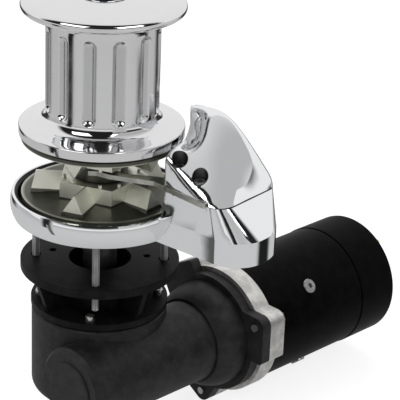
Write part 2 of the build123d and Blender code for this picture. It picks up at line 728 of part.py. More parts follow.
# Worm wheel and worm
def wheel_outline(turn):
    """Toothed outline of the worm wheel, with a gap centred on the given angle."""
    base_r = WHEEL_PITCH_R * math.cos(math.radians(PRESSURE_ANGLE))
    tip_r = WHEEL_PITCH_R + ADDENDUM
    root_r = WHEEL_PITCH_R - DEDENDUM
    involute = math.tan(math.radians(PRESSURE_ANGLE)) - math.radians(PRESSURE_ANGLE)
    half = math.pi / 2 / WHEEL_TEETH - BACKLASH / 2 / WHEEL_PITCH_R
    flank = []
    for radius in (base_r, WHEEL_PITCH_R, tip_r):
        roll = math.acos(base_r / radius)
        flank.append((radius, half + involute - math.tan(roll) + roll))
    points = []
    for tooth in range(WHEEL_TEETH):
        centre = math.radians(turn) + (tooth + 0.5) * 2 * math.pi / WHEEL_TEETH
        edge = [(root_r, flank[0][1])] + flank
        points += [polar(radius, math.degrees(centre - angle)) for radius, angle in edge]
        points += [polar(radius, math.degrees(centre + angle)) for radius, angle in reversed(edge)]
    return make_face(Polyline(*points, close=True))


def worm_wheel():
    slope = MODULE / (2 * WORM_PITCH_R)
    twist = math.degrees(WHEEL_HALF_FACE * slope / WHEEL_PITCH_R)
    low = Pos(0, 0, WORM_Z - WHEEL_HALF_FACE) * wheel_outline(-twist)
    high = Pos(0, 0, WORM_Z + WHEEL_HALF_FACE) * wheel_outline(twist)
    wheel = loft([low, high], ruled=True) + post(WHEEL_HUB_R, *wheel_span())
    wheel -= post(SHAFT_R, WORM_Z - 2 * WHEEL_HUB_HALF, WORM_Z + 2 * WHEEL_HUB_HALF)
    return wheel - key_bar(*wheel_key_span())


def wheel_circlip():
    bottom, _ = wheel_span()
    ring = tube(SHAFT_R - CIRCLIP_GROOVE, CIRCLIP_R, bottom - CIRCLIP_T, bottom)
    gap = Pos(-CIRCLIP_R, 0, bottom - CIRCLIP_T / 2) * Box(CIRCLIP_R, KEY_W, 2 * CIRCLIP_T)
    return ring - gap


def worm_thread():
    """One-start right-hand thread around Z, centred on the origin."""
    pitch = math.pi * MODULE
    half = pitch / 4 - BACKLASH / 4
    lean = math.tan(math.radians(PRESSURE_ANGLE))
    root_r = WORM_PITCH_R - DEDENDUM
    tip_r = WORM_PITCH_R + ADDENDUM
    sink = 0.4
    path = Helix(pitch, 2 * WORM_HALF_LENGTH - pitch, WORM_PITCH_R)
    profile = Polyline((root_r - sink - WORM_PITCH_R, -half - (WORM_PITCH_R - root_r + sink) * lean),
                       (tip_r - WORM_PITCH_R, -half + ADDENDUM * lean), (tip_r - WORM_PITCH_R, half - ADDENDUM * lean),
                       (root_r - sink - WORM_PITCH_R, half + (WORM_PITCH_R - root_r + sink) * lean), close=True)
    face = Plane(origin=path @ 0, x_dir=(1, 0, 0), z_dir=path % 0) * make_face(profile)
    turns = (2 * WORM_HALF_LENGTH - pitch) / pitch
    thread = sweep(face, path=path, is_frenet=True)
    return Pos(0, 0, -turns * pitch / 2) * thread, turns


def worm_shaft():
    thread, turns = worm_thread()
    root_r = WORM_PITCH_R - DEDENDUM
    front_r, _, front_start, front_end = WORM_FRONT_BEARING
    rear_r = WORM_REAR_BEARING[0]
    core = motor_turned(((0, front_start), (front_r - SLIP, front_start), (front_r - SLIP, front_end + OVER),
                         (root_r, front_end + OVER), (root_r, WORM_HALF_LENGTH + MODULE),
                         (rear_r - SLIP, WORM_HALF_LENGTH + MODULE), (rear_r - SLIP, COUPLING_SPLIT),
                         (0, COUPLING_SPLIT)))
    # The middle of the thread has turned half of its whole angle, and it faces the wheel there
    facing = thread.rotate(Axis.Z, 180 - turns * 360 / 2)
    return core + Pos(WORM_X, 0, WORM_Z) * Rot(X=-90) * facing


# Deck flange and gearbox
def web():
    """Radial web of the deck flange, drawn on +X."""
    bottom = FLANGE_FOOT_TOP
    top = FLANGE_TOP - FLANGE_PLATE_T
    inner = (FLANGE_BORE_R + FLANGE_TUBE_R) / 2
    side = make_face(Polyline((inner, bottom), (WEB_FOOT_R, bottom), (WEB_TOP_R, top), (inner, top), close=True))
    return extrude(Plane.XZ * side, amount=WEB_T / 2, both=True)


def deck_flange():
    plate_bottom = FLANGE_TOP - FLANGE_PLATE_T
    body = post(FLANGE_R, plate_bottom, FLANGE_TOP)
    body += post(FLANGE_TUBE_R, FLANGE_FOOT_TOP, plate_bottom)
    body += post(FLANGE_FOOT_R, FLANGE_FOOT_BOTTOM, FLANGE_FOOT_TOP)
    body += post(SPIGOT_R, SPIGOT_BOTTOM, FLANGE_FOOT_BOTTOM)
    for index in range(FLANGE_WEBS):
        body += web().rotate(Axis.Z, WEB_TURN + index * 360 / FLANGE_WEBS)
    body -= post(FLANGE_BORE_R, FLANGE_FOOT_TOP, FLANGE_TOP + OVER)
    body -= post(TOP_BEARING[1], SPIGOT_BOTTOM - OVER, FLANGE_FOOT_TOP + OVER)
    for x, y in stud_places():
        body -= Pos(x, y) * post(STUD_HOLE_R, plate_bottom - OVER, FLANGE_TOP + OVER)
    for x, y in SPARE_HOLES:
        body -= Pos(x, y) * post(SPARE_HOLE_R, plate_bottom - OVER, FLANGE_TOP + OVER)
    for x, y in gear_screw_places():
        body -= Pos(x, y) * post(GEAR_SCREW_R, FLANGE_FOOT_BOTTOM - OVER, FLANGE_FOOT_TOP + OVER)
    return body


def gearbox_screws():
    screws = []
    for x, y in gear_screw_places():
        head_top = FLANGE_FOOT_TOP + GEAR_SCREW_HEAD_T
        screw = post(GEAR_SCREW_R, GEAR_SCREW_END, FLANGE_FOOT_TOP)
        screw += post(GEAR_SCREW_HEAD_R, FLANGE_FOOT_TOP, head_top)
        key = extrude(RegularPolygon(GEAR_SCREW_KEY_R, 6), amount=GEAR_SCREW_KEY_DEPTH + OVER)
        screws.append(Pos(x, y) * (screw - Pos(0, 0, head_top - GEAR_SCREW_KEY_DEPTH) * key))
    return Compound(children=screws)


def ear():
    """Ear of the gearbox and motor flanges. Its outer corner is rounded about the bolt."""
    inner = GEAR_FLANGE_R / 2
    centre = Pos((inner + EAR_REACH) / 2, (EAR_LOW + EAR_HIGH) / 2)
    corners = centre * Rectangle(EAR_REACH - inner, EAR_HIGH - EAR_LOW)
    right = corners.vertices().group_by(Axis.X)[-1].sort_by(Axis.Y)
    corners = fillet(right[-1], EAR_CORNER)
    low = corners.vertices().group_by(Axis.X)[-1].sort_by(Axis.Y)[0]
    return fillet(low, EAR_CORNER_LOW)


def eared_flange(radius):
    """Outline with three ears, seen from the free worm end."""
    outline = Circle(radius)
    for index in range(EARS):
        outline += Rot(Z=index * 360 / EARS) * ear()
    return outline


def flange_bolt_places():
    """Bolt centres across the motor axis."""
    return [polar(FLANGE_BOLT_CIRCLE_R, FLANGE_BOLT_ANGLE + index * 360 / EARS) for index in range(EARS)]


def barrel():
    """Upright part of the gearbox, around the worm wheel."""
    body = post(BARREL_R, BARREL_BOTTOM, BARREL_RIM)
    body = fillet(body.edges().group_by(Axis.Z)[0], BARREL_EDGE)
    body = fillet(body.edges().group_by(Axis.Z)[-1], BARREL_RIM_EDGE)
    return body + post(BARREL_SPIGOT_R, BARREL_RIM - OVER, FLANGE_FOOT_BOTTOM)


def worm_tube():
    """Lying part of the gearbox with its bell and eared flange."""
    edge = WORM_TUBE_EDGE
    body = motor_turned(((0, WORM_TUBE_START), (WORM_TUBE_R - edge, WORM_TUBE_START),
                         (WORM_TUBE_R, WORM_TUBE_START + edge), (WORM_TUBE_R, WORM_TUBE_END), (0, WORM_TUBE_END)))
    start = (WORM_TUBE_R + BELL_NECK, WORM_TUBE_END - BELL_NECK)
    end = (GEAR_FLANGE_R - BELL_RIM, FLANGE_FRONT)
    curve = Spline(start, end, tangents=((1, 1), (0, 1)))
    rest = Polyline(end, (0, end[1]), (0, start[1]), start)
    body += revolve(Pos(WORM_X, 0, WORM_Z) * make_face(curve + rest), MOTOR_AXIS)
    return body + across_motor(eared_flange(GEAR_FLANGE_R), FLANGE_FRONT, FLANGE_JOINT)


def worm_room():
    """Stepped bore along the worm, from the cap seat to the flange joint."""
    _, front_r, front_start, _ = WORM_FRONT_BEARING
    _, rear_r, rear_start, rear_end = WORM_REAR_BEARING
    seal_inner, seal_r, seal_start, seal_end = WORM_SEAL
    seal_shoulder_r = (seal_inner + seal_r) / 2
    return motor_turned(((0, WORM_TUBE_START - OVER), (END_CAP_R, WORM_TUBE_START - OVER), (END_CAP_R, END_CAP_SEAT),
                         (front_r, END_CAP_SEAT), (front_r, rear_start), (rear_r, rear_start), (rear_r, rear_end),
                         (seal_shoulder_r, rear_end), (seal_shoulder_r, seal_start), (seal_r, seal_start),
                         (seal_r, BELL_ROOM_START), (BELL_ROOM_R, BELL_ROOM_START), (BELL_ROOM_R, FLANGE_JOINT + OVER),
                         (0, FLANGE_JOINT + OVER)))


def gearbox_housing():
    body = barrel() + worm_tube()
    body -= post(WHEEL_ROOM_R, WHEEL_ROOM_FLOOR, FLANGE_FOOT_BOTTOM + OVER)
    body -= post(BOTTOM_BEARING[1], BOTTOM_BEARING[2], WHEEL_ROOM_FLOOR + OVER)
    body -= worm_room()
    for x, y in gear_screw_places():
        body -= Pos(x, y) * post(GEAR_SCREW_R, GEAR_SCREW_END, FLANGE_FOOT_BOTTOM + OVER)
    for x, y in flange_bolt_places():
        body -= across_motor(Pos(x, y) * Circle(FLANGE_BOLT_R), FLANGE_FRONT - OVER, FLANGE_JOINT + OVER)
    return body


def worm_end_cap():
    return motor_turned(((0, END_CAP_SEAT), (END_CAP_R, END_CAP_SEAT), (END_CAP_R, END_CAP_FACE + END_CAP_EDGE),
                         (END_CAP_R - END_CAP_EDGE, END_CAP_FACE), (0, END_CAP_FACE)))


def bearing_outline(inner, outer, start, end):
    """Section of a shielded bearing, with a shallow groove in each face."""
    third = (outer - inner) / 3
    dip = (end - start) / 12
    return ((inner, start), (inner + third, start), (inner + third, start + dip), (outer - third, start + dip),
            (outer - third, start), (outer, start), (outer, end), (outer - third, end), (outer - third, end - dip),
            (inner + third, end - dip), (inner + third, end), (inner, end))


# Motor
def motor_flange():
    body = across_motor(eared_flange(MOTOR_FLANGE_R), FLANGE_JOINT, MOTOR_START)
    _, bearing_r, bearing_start, bearing_end = MOTOR_FRONT_BEARING
    lip_r = bearing_r - BEARING_LIP
    body -= motor_turned(((0, FLANGE_JOINT - OVER), (lip_r, FLANGE_JOINT - OVER), (lip_r, bearing_start),
                          (bearing_r, bearing_start), (bearing_r, MOTOR_START + OVER), (0, MOTOR_START + OVER)))
    for x, y in flange_bolt_places():
        body -= across_motor(Pos(x, y) * Circle(FLANGE_BOLT_R), FLANGE_JOINT - OVER, MOTOR_START + OVER)
    return body


def flange_bolts():
    bolts = []
    for x, y in flange_bolt_places():
        shank = across_motor(Pos(x, y) * Circle(FLANGE_BOLT_R), FLANGE_BOLT_TIP, MOTOR_START)
        head = Pos(x, y) * RegularPolygon(FLANGE_BOLT_HEAD_R, 6)
        bolts.append(shank + across_motor(head, MOTOR_START, MOTOR_START + FLANGE_BOLT_HEAD_T))
    return Compound(children=bolts)


def radial_at_pole(solid, index):
    """Place a solid drawn along Z from the motor axis at one pole."""
    placed = Pos(WORM_X, (POLE_START + POLE_END) / 2, WORM_Z) * Rot(Y=90) * solid
    return around_motor(placed, POLE_ANGLE + index * 360 / POLES)


def pole_screw():
    """Pole screw standing on Z, with its flat head just inside the shell's surface."""
    inner = POLE_INNER_R + 3 * COIL_T / 2
    head_bottom = MOTOR_R - POLE_SCREW_HEAD_T / 2
    screw = post(POLE_SCREW_R, inner, head_bottom)
    screw += post(POLE_SCREW_HEAD_R, head_bottom, head_bottom + POLE_SCREW_HEAD_T)
    key = extrude(RegularPolygon(POLE_SCREW_SOCKET_R, 6), amount=POLE_SCREW_HEAD_T)
    return screw - Pos(0, 0, head_bottom + POLE_SCREW_HEAD_T / 2) * key


def pole_screw_cut():
    """Hole and flat seat for one pole screw."""
    head_bottom = MOTOR_R - POLE_SCREW_HEAD_T / 2
    inner = POLE_INNER_R + 3 * COIL_T / 2
    return post(POLE_SCREW_R, inner, MOTOR_R) + post(POLE_SCREW_HEAD_R, head_bottom, MOTOR_R + POLE_SCREW_HEAD_T)


def motor_shell():
    shell = motor_ring(MOTOR_R - MOTOR_WALL, MOTOR_R, MOTOR_START, MOTOR_SPLIT)
    for index in range(POLES):
        shell -= radial_at_pole(pole_screw_cut(), index)
    return shell


def pole_screws():
    return Compound(children=[radial_at_pole(pole_screw(), index) for index in range(POLES)])


def arc_block(inner, outer, span, start, end):
    """Curved block centred on the +X side of the motor axis."""
    block = motor_ring(inner, outer, start, end)
    half = math.radians(span / 2)
    reach = 2 * outer
    wedge = make_face(Polyline((0, 0), (reach * math.cos(half), -reach * math.sin(half)),
                               (reach * math.cos(half), reach * math.sin(half)), close=True))
    return block & across_motor(wedge, start, end)


def pole_parts():
    """Pole shoes and the coils around their necks."""
    shoes = []
    coils = []
    neck_r = POLE_INNER_R + COIL_T
    wall_r = MOTOR_R - MOTOR_WALL
    for index in range(POLES):
        angle = POLE_ANGLE + index * 360 / POLES
        shoe = arc_block(POLE_INNER_R, neck_r, POLE_SPAN, POLE_START, POLE_END)
        neck = arc_block(neck_r, wall_r, POLE_SPAN / 2, POLE_START + 2 * COIL_T, POLE_END - 2 * COIL_T)
        coil = arc_block(neck_r, wall_r, POLE_SPAN, POLE_START, POLE_END) - neck
        shoe = around_motor(shoe + neck, angle) - radial_at_pole(pole_screw_cut(), index)
        shoes.append(shoe)
        coils.append(around_motor(coil, angle))
    return Compound(children=shoes), Compound(children=coils)


def armature_slots(start, end):
    """Solid that fills the winding slots."""
    bars = []
    middle = ARMATURE_R - SLOT_DEPTH / 2
    for index in range(ARMATURE_SLOTS):
        bar = Pos(middle, 0) * Rectangle(SLOT_DEPTH, SLOT_W)
        bars.append(across_motor(Rot(Z=index * 360 / ARMATURE_SLOTS) * bar, start, end))
    return bars


def armature():
    """Laminated core and the windings in its slots."""
    start = POLE_START
    end = POLE_END
    core = motor_ring(MOTOR_SHAFT_R, ARMATURE_R, start, end)
    inner = ARMATURE_R - SLOT_DEPTH
    winding = motor_ring(inner, ARMATURE_R - OVER, start - WINDING_OVERHANG, start)
    winding += motor_ring(inner, ARMATURE_R - OVER, end, end + WINDING_OVERHANG)
    for bar in armature_slots(start - OVER, end + OVER):
        core -= bar
        winding += bar & motor_ring(MOTOR_SHAFT_R, ARMATURE_R - OVER, start - OVER, end + OVER)
    return core, winding


def motor_shaft():
    rear_r, _, rear_start, rear_end = MOTOR_REAR_BEARING
    radius = MOTOR_SHAFT_R
    return motor_turned(((0, COUPLING_SPLIT + OVER), (radius - SLIP, COUPLING_SPLIT + OVER),
                         (radius - SLIP, MOTOR_START), (radius, MOTOR_START), (radius, rear_start - OVER),
                         (rear_r - SLIP, rear_start - OVER), (rear_r - SLIP, rear_end - END_PLAY),
                         (0, rear_end - END_PLAY)))


def brushes():
    blocks = []
    reach = BRUSH_OUTER_R - COMMUTATOR_R - APART
    middle = COMMUTATOR_R + APART + reach / 2
    centre = (COMMUTATOR_START + COMMUTATOR_END) / 2
    for index in range(POLES):
        face = Rot(Z=POLE_ANGLE + (index + 0.5) * 360 / POLES) * (Pos(middle, 0) * Rectangle(reach, BRUSH_W))
        blocks.append(across_motor(face, centre - BRUSH_LENGTH / 2, BRUSH_PLATE_Y))
    return Compound(children=blocks)


def terminal_places():
    """Terminal centres across the motor axis, on the free end of the motor."""
    return [(side * TERMINAL_SPREAD, TERMINAL_OFFSET) for side in (-1, 1)]


def motor_end_cap():
    start = MOTOR_SPLIT + SPLIT_GAP
    _, rear_r, rear_start, rear_end = MOTOR_REAR_BEARING
    spigot_r = MOTOR_R - MOTOR_WALL
    cap = motor_turned(((spigot_r, MOTOR_SPLIT - 2 * MOTOR_WALL), (spigot_r, start), (CAP_R, start),
                        (CAP_R, MOTOR_END - CAP_EDGE), (CAP_R - CAP_EDGE, MOTOR_END), (0, MOTOR_END),
                        (0, rear_end), (rear_r, rear_end), (rear_r, rear_start), (CAP_BOSS_R, rear_start),
                        (CAP_BOSS_R, CAP_ROOM_END), (spigot_r - CAP_WALL, CAP_ROOM_END),
                        (spigot_r - CAP_WALL, MOTOR_SPLIT - 2 * MOTOR_WALL)))
    for x, y in terminal_places():
        cap -= across_motor(Pos(x, y) * Circle(TERMINAL_R), CAP_ROOM_END - OVER, MOTOR_END + OVER)
    return cap


def motor_terminals():
    studs = []
    for x, y in terminal_places():
        stud = across_motor(Pos(x, y) * Circle(TERMINAL_R), CAP_ROOM_END - OVER, TERMINAL_END)
        nut = Pos(x, y) * RegularPolygon(TERMINAL_NUT_R, 6)
        studs.append(stud + across_motor(nut, MOTOR_END, MOTOR_END + TERMINAL_NUT_T))
    return Compound(children=studs)


def all_nodes():
    """Every named piece of the windlass."""
    shoes, coils = pole_parts()
    core, winding = armature()
    coupling = motor_ring(MOTOR_SHAFT_R - SLIP, COUPLING_R, COUPLING_START, COUPLING_END)
    return {
        "base_housing": base_housing(),
        "hood_cover": hood_cover(),
        "cover_screws": cover_screws(),
        "chain_stripper": chain_stripper(),
        "deck_studs": deck_studs(),
        "shaft_bush": tube(SHAFT_R + SLIP, BUSH_R, 0, BUSH_TOP),
        "shaft_seal": tube(SHAFT_R + SLIP, BUSH_R, BUSH_TOP, SEAL_TOP),
        "gypsy": gypsy(),
        "lower_cone": lower_cone(),
        "upper_cone": upper_cone(),
        "cone_keys": cone_keys(),
        "main_shaft": main_shaft(),
        "drum": drum(),
        "drum_key": key_bar(*drum_key_span()),
        "clutch_nut": clutch_nut(),
        "worm_wheel": worm_wheel(),
        "wheel_key": key_bar(*wheel_key_span()),
        "wheel_circlip": wheel_circlip(),
        "deck_flange": deck_flange(),
        "gearbox_screws": gearbox_screws(),
        "gearbox_housing": gearbox_housing(),
        "top_bearing": turned(bearing_outline(TOP_BEARING[0] + SLIP, *TOP_BEARING[1:])),
        "bottom_bearing": turned(bearing_outline(*BOTTOM_BEARING)),
        "worm_end_cap": worm_end_cap(),
        "worm_shaft": worm_shaft(),
        "worm_front_bearing": motor_turned(bearing_outline(*WORM_FRONT_BEARING)),
        "worm_rear_bearing": motor_turned(bearing_outline(*WORM_REAR_BEARING)),
        "worm_seal": motor_ring(*WORM_SEAL),
        "coupling": coupling,
        "motor_flange": motor_flange(),
        "flange_bolts": flange_bolts(),
        "motor_front_bearing": motor_turned(bearing_outline(*MOTOR_FRONT_BEARING)),
        "motor_shell": motor_shell(),
        "pole_screws": pole_screws(),
        "pole_shoes": shoes,
        "field_coils": coils,
        "motor_shaft": motor_shaft(),
        "armature_core": core,
        "armature_windings": winding,
        "commutator": motor_ring(MOTOR_SHAFT_R, COMMUTATOR_R, COMMUTATOR_START, COMMUTATOR_END),
        "brushes": brushes(),
        "brush_plate": motor_ring(BRUSH_PLATE_INNER_R, MOTOR_R - MOTOR_WALL - CAP_WALL, BRUSH_PLATE_Y,
                                  BRUSH_PLATE_Y + BRUSH_PLATE_T),
        "motor_end_cap": motor_end_cap(),
        "motor_rear_bearing": motor_turned(bearing_outline(*MOTOR_REAR_BEARING)),
        "motor_terminals": motor_terminals(),
    }


os.makedirs("parts", exist_ok=True)
for name, shape in all_nodes().items():
    export_step(shape, f"parts/{name}.step")
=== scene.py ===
# %% [markdown]
# # An anchor windlass in chrome, nickel and black paint
# The engineering model gives every piece its place and size. This script gives the pieces their
# looks: finer meshes where polish would show a facet, and finishes made of nodes.
# Everything is in metres, in the frame of the engineering model: the deck is the plane z = 0 and
# the main shaft stands on the z axis.

import json
import math

import bmesh
import bpy
import numpy as np
from mathutils import Matrix, Vector

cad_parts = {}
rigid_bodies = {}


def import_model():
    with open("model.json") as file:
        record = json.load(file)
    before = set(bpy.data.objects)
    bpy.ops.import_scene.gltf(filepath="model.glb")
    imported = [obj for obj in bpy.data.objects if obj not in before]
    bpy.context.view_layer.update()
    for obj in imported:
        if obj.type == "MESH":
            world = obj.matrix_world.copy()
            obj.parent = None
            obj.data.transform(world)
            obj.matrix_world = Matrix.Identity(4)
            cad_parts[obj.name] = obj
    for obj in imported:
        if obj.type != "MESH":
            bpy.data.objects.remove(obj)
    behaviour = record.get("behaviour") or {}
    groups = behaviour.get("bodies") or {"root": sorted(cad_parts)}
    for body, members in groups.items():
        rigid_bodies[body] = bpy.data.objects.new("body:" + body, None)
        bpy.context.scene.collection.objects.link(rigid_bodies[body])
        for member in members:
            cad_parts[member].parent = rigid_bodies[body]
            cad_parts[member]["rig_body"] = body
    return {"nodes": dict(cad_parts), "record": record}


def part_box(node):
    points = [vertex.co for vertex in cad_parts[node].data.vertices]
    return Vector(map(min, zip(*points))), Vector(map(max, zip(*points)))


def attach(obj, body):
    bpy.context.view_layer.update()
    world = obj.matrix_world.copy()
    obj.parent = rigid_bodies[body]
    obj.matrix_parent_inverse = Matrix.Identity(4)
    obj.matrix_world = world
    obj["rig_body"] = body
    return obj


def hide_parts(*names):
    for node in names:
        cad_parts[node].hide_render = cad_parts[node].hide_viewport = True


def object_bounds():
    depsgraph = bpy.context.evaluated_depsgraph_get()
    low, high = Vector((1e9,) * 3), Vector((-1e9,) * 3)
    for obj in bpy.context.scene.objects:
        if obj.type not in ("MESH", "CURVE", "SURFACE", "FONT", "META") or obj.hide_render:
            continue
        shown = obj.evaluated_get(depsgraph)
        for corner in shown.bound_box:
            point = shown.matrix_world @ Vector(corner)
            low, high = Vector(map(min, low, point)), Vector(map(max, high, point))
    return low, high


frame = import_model()
cad_box = [list(corner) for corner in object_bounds()]
nodes = frame["nodes"]
MM = 0.001
print("engineering pieces:", len(nodes), "box:", cad_box)

# %% [markdown]
# ## Camera
# The photograph looks down on the windlass at 24 degrees, from half way between the motor's line
# and the hood's line. A long lens keeps the verticals nearly parallel. The place and the angles
# come from fitting ten measured ellipses, so the camera is set by its three axes, not by hand.

# %% Camera
CAMERA_PLACE = Vector((1.2623, -1.1236, 0.7607))
CAMERA_TURN = math.radians(44.92)
CAMERA_DROP = math.radians(23.78)
CAMERA_ROLL = math.radians(2.29)
CAMERA_LENS = 163.84
CAMERA_SENSOR = 36.0
CAMERA_REACH = 20.0


def camera_axes():
    """Right, up and forward directions of the camera."""
    right = Vector((math.cos(CAMERA_TURN), math.sin(CAMERA_TURN), 0))
    forward = Vector((-math.sin(CAMERA_TURN) * math.cos(CAMERA_DROP),
                      math.cos(CAMERA_TURN) * math.cos(CAMERA_DROP), -math.sin(CAMERA_DROP)))
    up = right.cross(forward)
    roll = Matrix.Rotation(CAMERA_ROLL, 3, -forward)
    return roll @ right, roll @ up, forward


camera_data = bpy.data.cameras.new("camera")
camera_data.sensor_width = CAMERA_SENSOR
camera_data.lens = CAMERA_LENS
camera_data.clip_end = CAMERA_REACH
camera = bpy.data.objects.new("camera", camera_data)
bpy.context.scene.collection.objects.link(camera)
right, up, forward = camera_axes()
turned = Matrix((right, up, -forward)).transposed().to_4x4()
camera.matrix_world = Matrix.Translation(CAMERA_PLACE) @ turned
bpy.context.scene.camera = camera
print("camera at", tuple(round(v, 3) for v in CAMERA_PLACE))

# %% [markdown]
# ## Shader nodes as arithmetic
# A finish is a small sum of noises and masks. Wrapping a socket in a class that knows + and *
# lets the sum be read as one line, where the node editor would need a dozen boxes.


# %% Shader helpers
class Value:
    """A number that changes over the surface. Arithmetic on it adds Math nodes."""

    def __init__(self, paint, socket):
        self.paint = paint
        self.socket = socket

    def math(self, operation, *others):
        """Apply one Math operation to this value and the others."""
        sockets = dict(enumerate((self,) + others))
        return self.paint.value("ShaderNodeMath", 0, {"operation": operation}, sockets)

    def __add__(self, other):
        return self.math("ADD", other)

    def __mul__(self, other):
        return self.math("MULTIPLY", other)

    def __sub__(self, other):
        return self.math("SUBTRACT", other)

    def __rsub__(self, other):
        return (self * -1) + other

    __radd__ = __add__
    __rmul__ = __mul__

    def step(self, low, high, bottom=0.0, top=1.0):
        """Smooth step from bottom at low to top at high."""
        sockets = {"Value": self, "From Min": low, "From Max": high, "To Min": bottom, "To Max": top}
        settings = {"interpolation_type": "SMOOTHSTEP"}
        return self.paint.value("ShaderNodeMapRange", "Result", settings, sockets)


class Nodes:
    """A node tree under construction."""

    def __init__(self, tree):
        self.tree = tree

    def node(self, kind, settings=None, sockets=None):
        """Add one node: settings are its properties, sockets are values or links."""
        node = self.tree.nodes.new(kind)
        for name, value in (settings or {}).items():
            setattr(node, name, value)
        for name, value in (sockets or {}).items():
            self.feed(node.inputs[name], value)
        return node

    def feed(self, socket, value):
        """Link a socket, or set it where the value is a constant."""
        if isinstance(value, Value):
            self.tree.links.new(value.socket, socket)
        elif isinstance(value, bpy.types.NodeSocket):
            self.tree.links.new(value, socket)
        else:
            socket.default_value = value

    def value(self, kind, output, settings=None, sockets=None):
        """Add one node and wrap one of its outputs."""
        return Value(self, self.node(kind, settings, sockets).outputs[output])


class Paint(Nodes):
    """A material under construction, around its Principled shader."""

    def __init__(self, name, metallic=0.0, roughness=0.5, color=(0.5, 0.5, 0.5)):
        self.material = bpy.data.materials.new(name)
        self.material.use_nodes = True
        super().__init__(self.material.node_tree)
        self.shader = self.tree.nodes["Principled BSDF"]
        self.set("Metallic", metallic)
        self.set("Roughness", roughness)
        self.set("Base Color", (*color, 1.0))

    def set(self, name, value):
        self.feed(self.shader.inputs[name], value)

    def coordinates(self):
        return self.node("ShaderNodeTexCoord").outputs["Object"]

    def noise(self, size, detail=3.0, stretch=(1, 1, 1), rough=0.5):
        """Noise with blobs of about this size in metres, stretched along the axes."""
        sockets = {"Vector": self.coordinates(), "Scale": stretch}
        place = self.node("ShaderNodeMapping", {"vector_type": "TEXTURE"}, sockets).outputs["Vector"]
        sockets = {"Vector": place, "Scale": 1 / size, "Detail": detail, "Roughness": rough}
        return self.value("ShaderNodeTexNoise", "Fac", None, sockets)

    def spot(self):
        """Object coordinates as three numbers."""
        split = self.node("ShaderNodeSeparateXYZ", None, {"Vector": self.coordinates()}).outputs
        return [Value(self, socket) for socket in split]

    def blend(self, factor, low, high):
        """Goes from low to high with the factor. Each is a colour or the output of a node."""
        node = self.node("ShaderNodeMix", {"data_type": "RGBA"}, {"Factor": factor})
        for socket, color in zip(node.inputs[6:8], (low, high)):
            self.feed(socket, (*color, 1.0) if isinstance(color, tuple) else color)
        return node.outputs[2]

    def rounded(self, radius, share):
        """Normals that run round the edges, where the share is one."""
        soft = self.node("ShaderNodeBevel", {"samples": 8}, {"Radius": radius}).outputs[0]
        plain = self.node("ShaderNodeNewGeometry").outputs["Normal"]
        node = self.node("ShaderNodeMix", {"data_type": "VECTOR"}, {"Factor": share})
        self.feed(node.inputs[4], plain)
        self.feed(node.inputs[5], soft)
        return node.outputs[1]

    def bump(self, height, distance, normal=None):
        """Dents the surface by height times distance, in metres."""
        sockets = {"Height": height, "Distance": distance}
        if normal is not None:
            sockets["Normal"] = normal
        self.set("Normal", self.node("ShaderNodeBump", None, sockets).outputs["Normal"])


print("shader helpers ready")

# %% [markdown]
# ## Polished metals
# Chrome is a mirror, so its look is what it reflects. What the finish itself adds is small: a
# faint cloudiness from fingers and polishing, and the slow waves of a hand-polished casting.
# Without the waves a mirror looks computed. The drum also keeps fine turning lines. Where a
# finish changes from place to place, a pair of sizes says where the change starts and ends.
# Inside the well, in the screw holes, under the drum and in its flutes, painted shade darkens the
# colour.


# %% Polished metals
PARTING = 57 * MM
JOINT_LINE = (0.35 * MM, 0.75 * MM)
HOOD_EDGE = 3.5 * MM
HOOD_TURN = math.radians(7)
COVER_SCREWS = ((104 * MM, -4 * MM), (129.5 * MM, -4 * MM))
COUNTERBORE_R = 7.8 * MM
WELL_WALL = (87.0 * MM, 87.5 * MM)
WELL_TOP = (24.1 * MM, 24.2 * MM)
SCOOP_WALL = (93.2 * MM, 94.0 * MM)
SCOOP_BOTTOM = (60 * MM, 62 * MM)
ABOVE_RING = (25 * MM, 32 * MM)
WAVES = 0.04 * MM
CHROME = (0.86, 0.87, 0.88)
# painted shade in hollows and under the drum; the dark joint line uses it too
SHADOW = (0.03, 0.03, 0.03)


def chrome(name, color):
    """Plain chrome with a little haze and a few specks."""
    paint = Paint(name, metallic=1.0, color=color)
    haze = paint.noise(0.030, 4.0)
    specks = paint.noise(0.0012, 2.0)
    paint.set("Roughness", haze.step(0.35, 0.75, 0.035, 0.085) + specks.step(0.62, 0.80, 0.0, 0.05))
    paint.set("Base Color", paint.blend(haze, tuple(0.96 * c for c in color), color))
    paint.bump(paint.noise(0.022, 1.0), WAVES)
    return paint.material


def from_cover_screws(x, y):
    """Distance to the nearer of the two cover screws, whose line is turned with the hood."""
    nearest = None
    for along_hood, across in COVER_SCREWS:
        dx = x - (along_hood * math.cos(HOOD_TURN) - across * math.sin(HOOD_TURN))
        dy = y - (along_hood * math.sin(HOOD_TURN) + across * math.cos(HOOD_TURN))
        distance = (dx * dx + dy * dy).math("SQRT")
        nearest = distance if nearest is None else nearest.math("MINIMUM", distance)
    return nearest


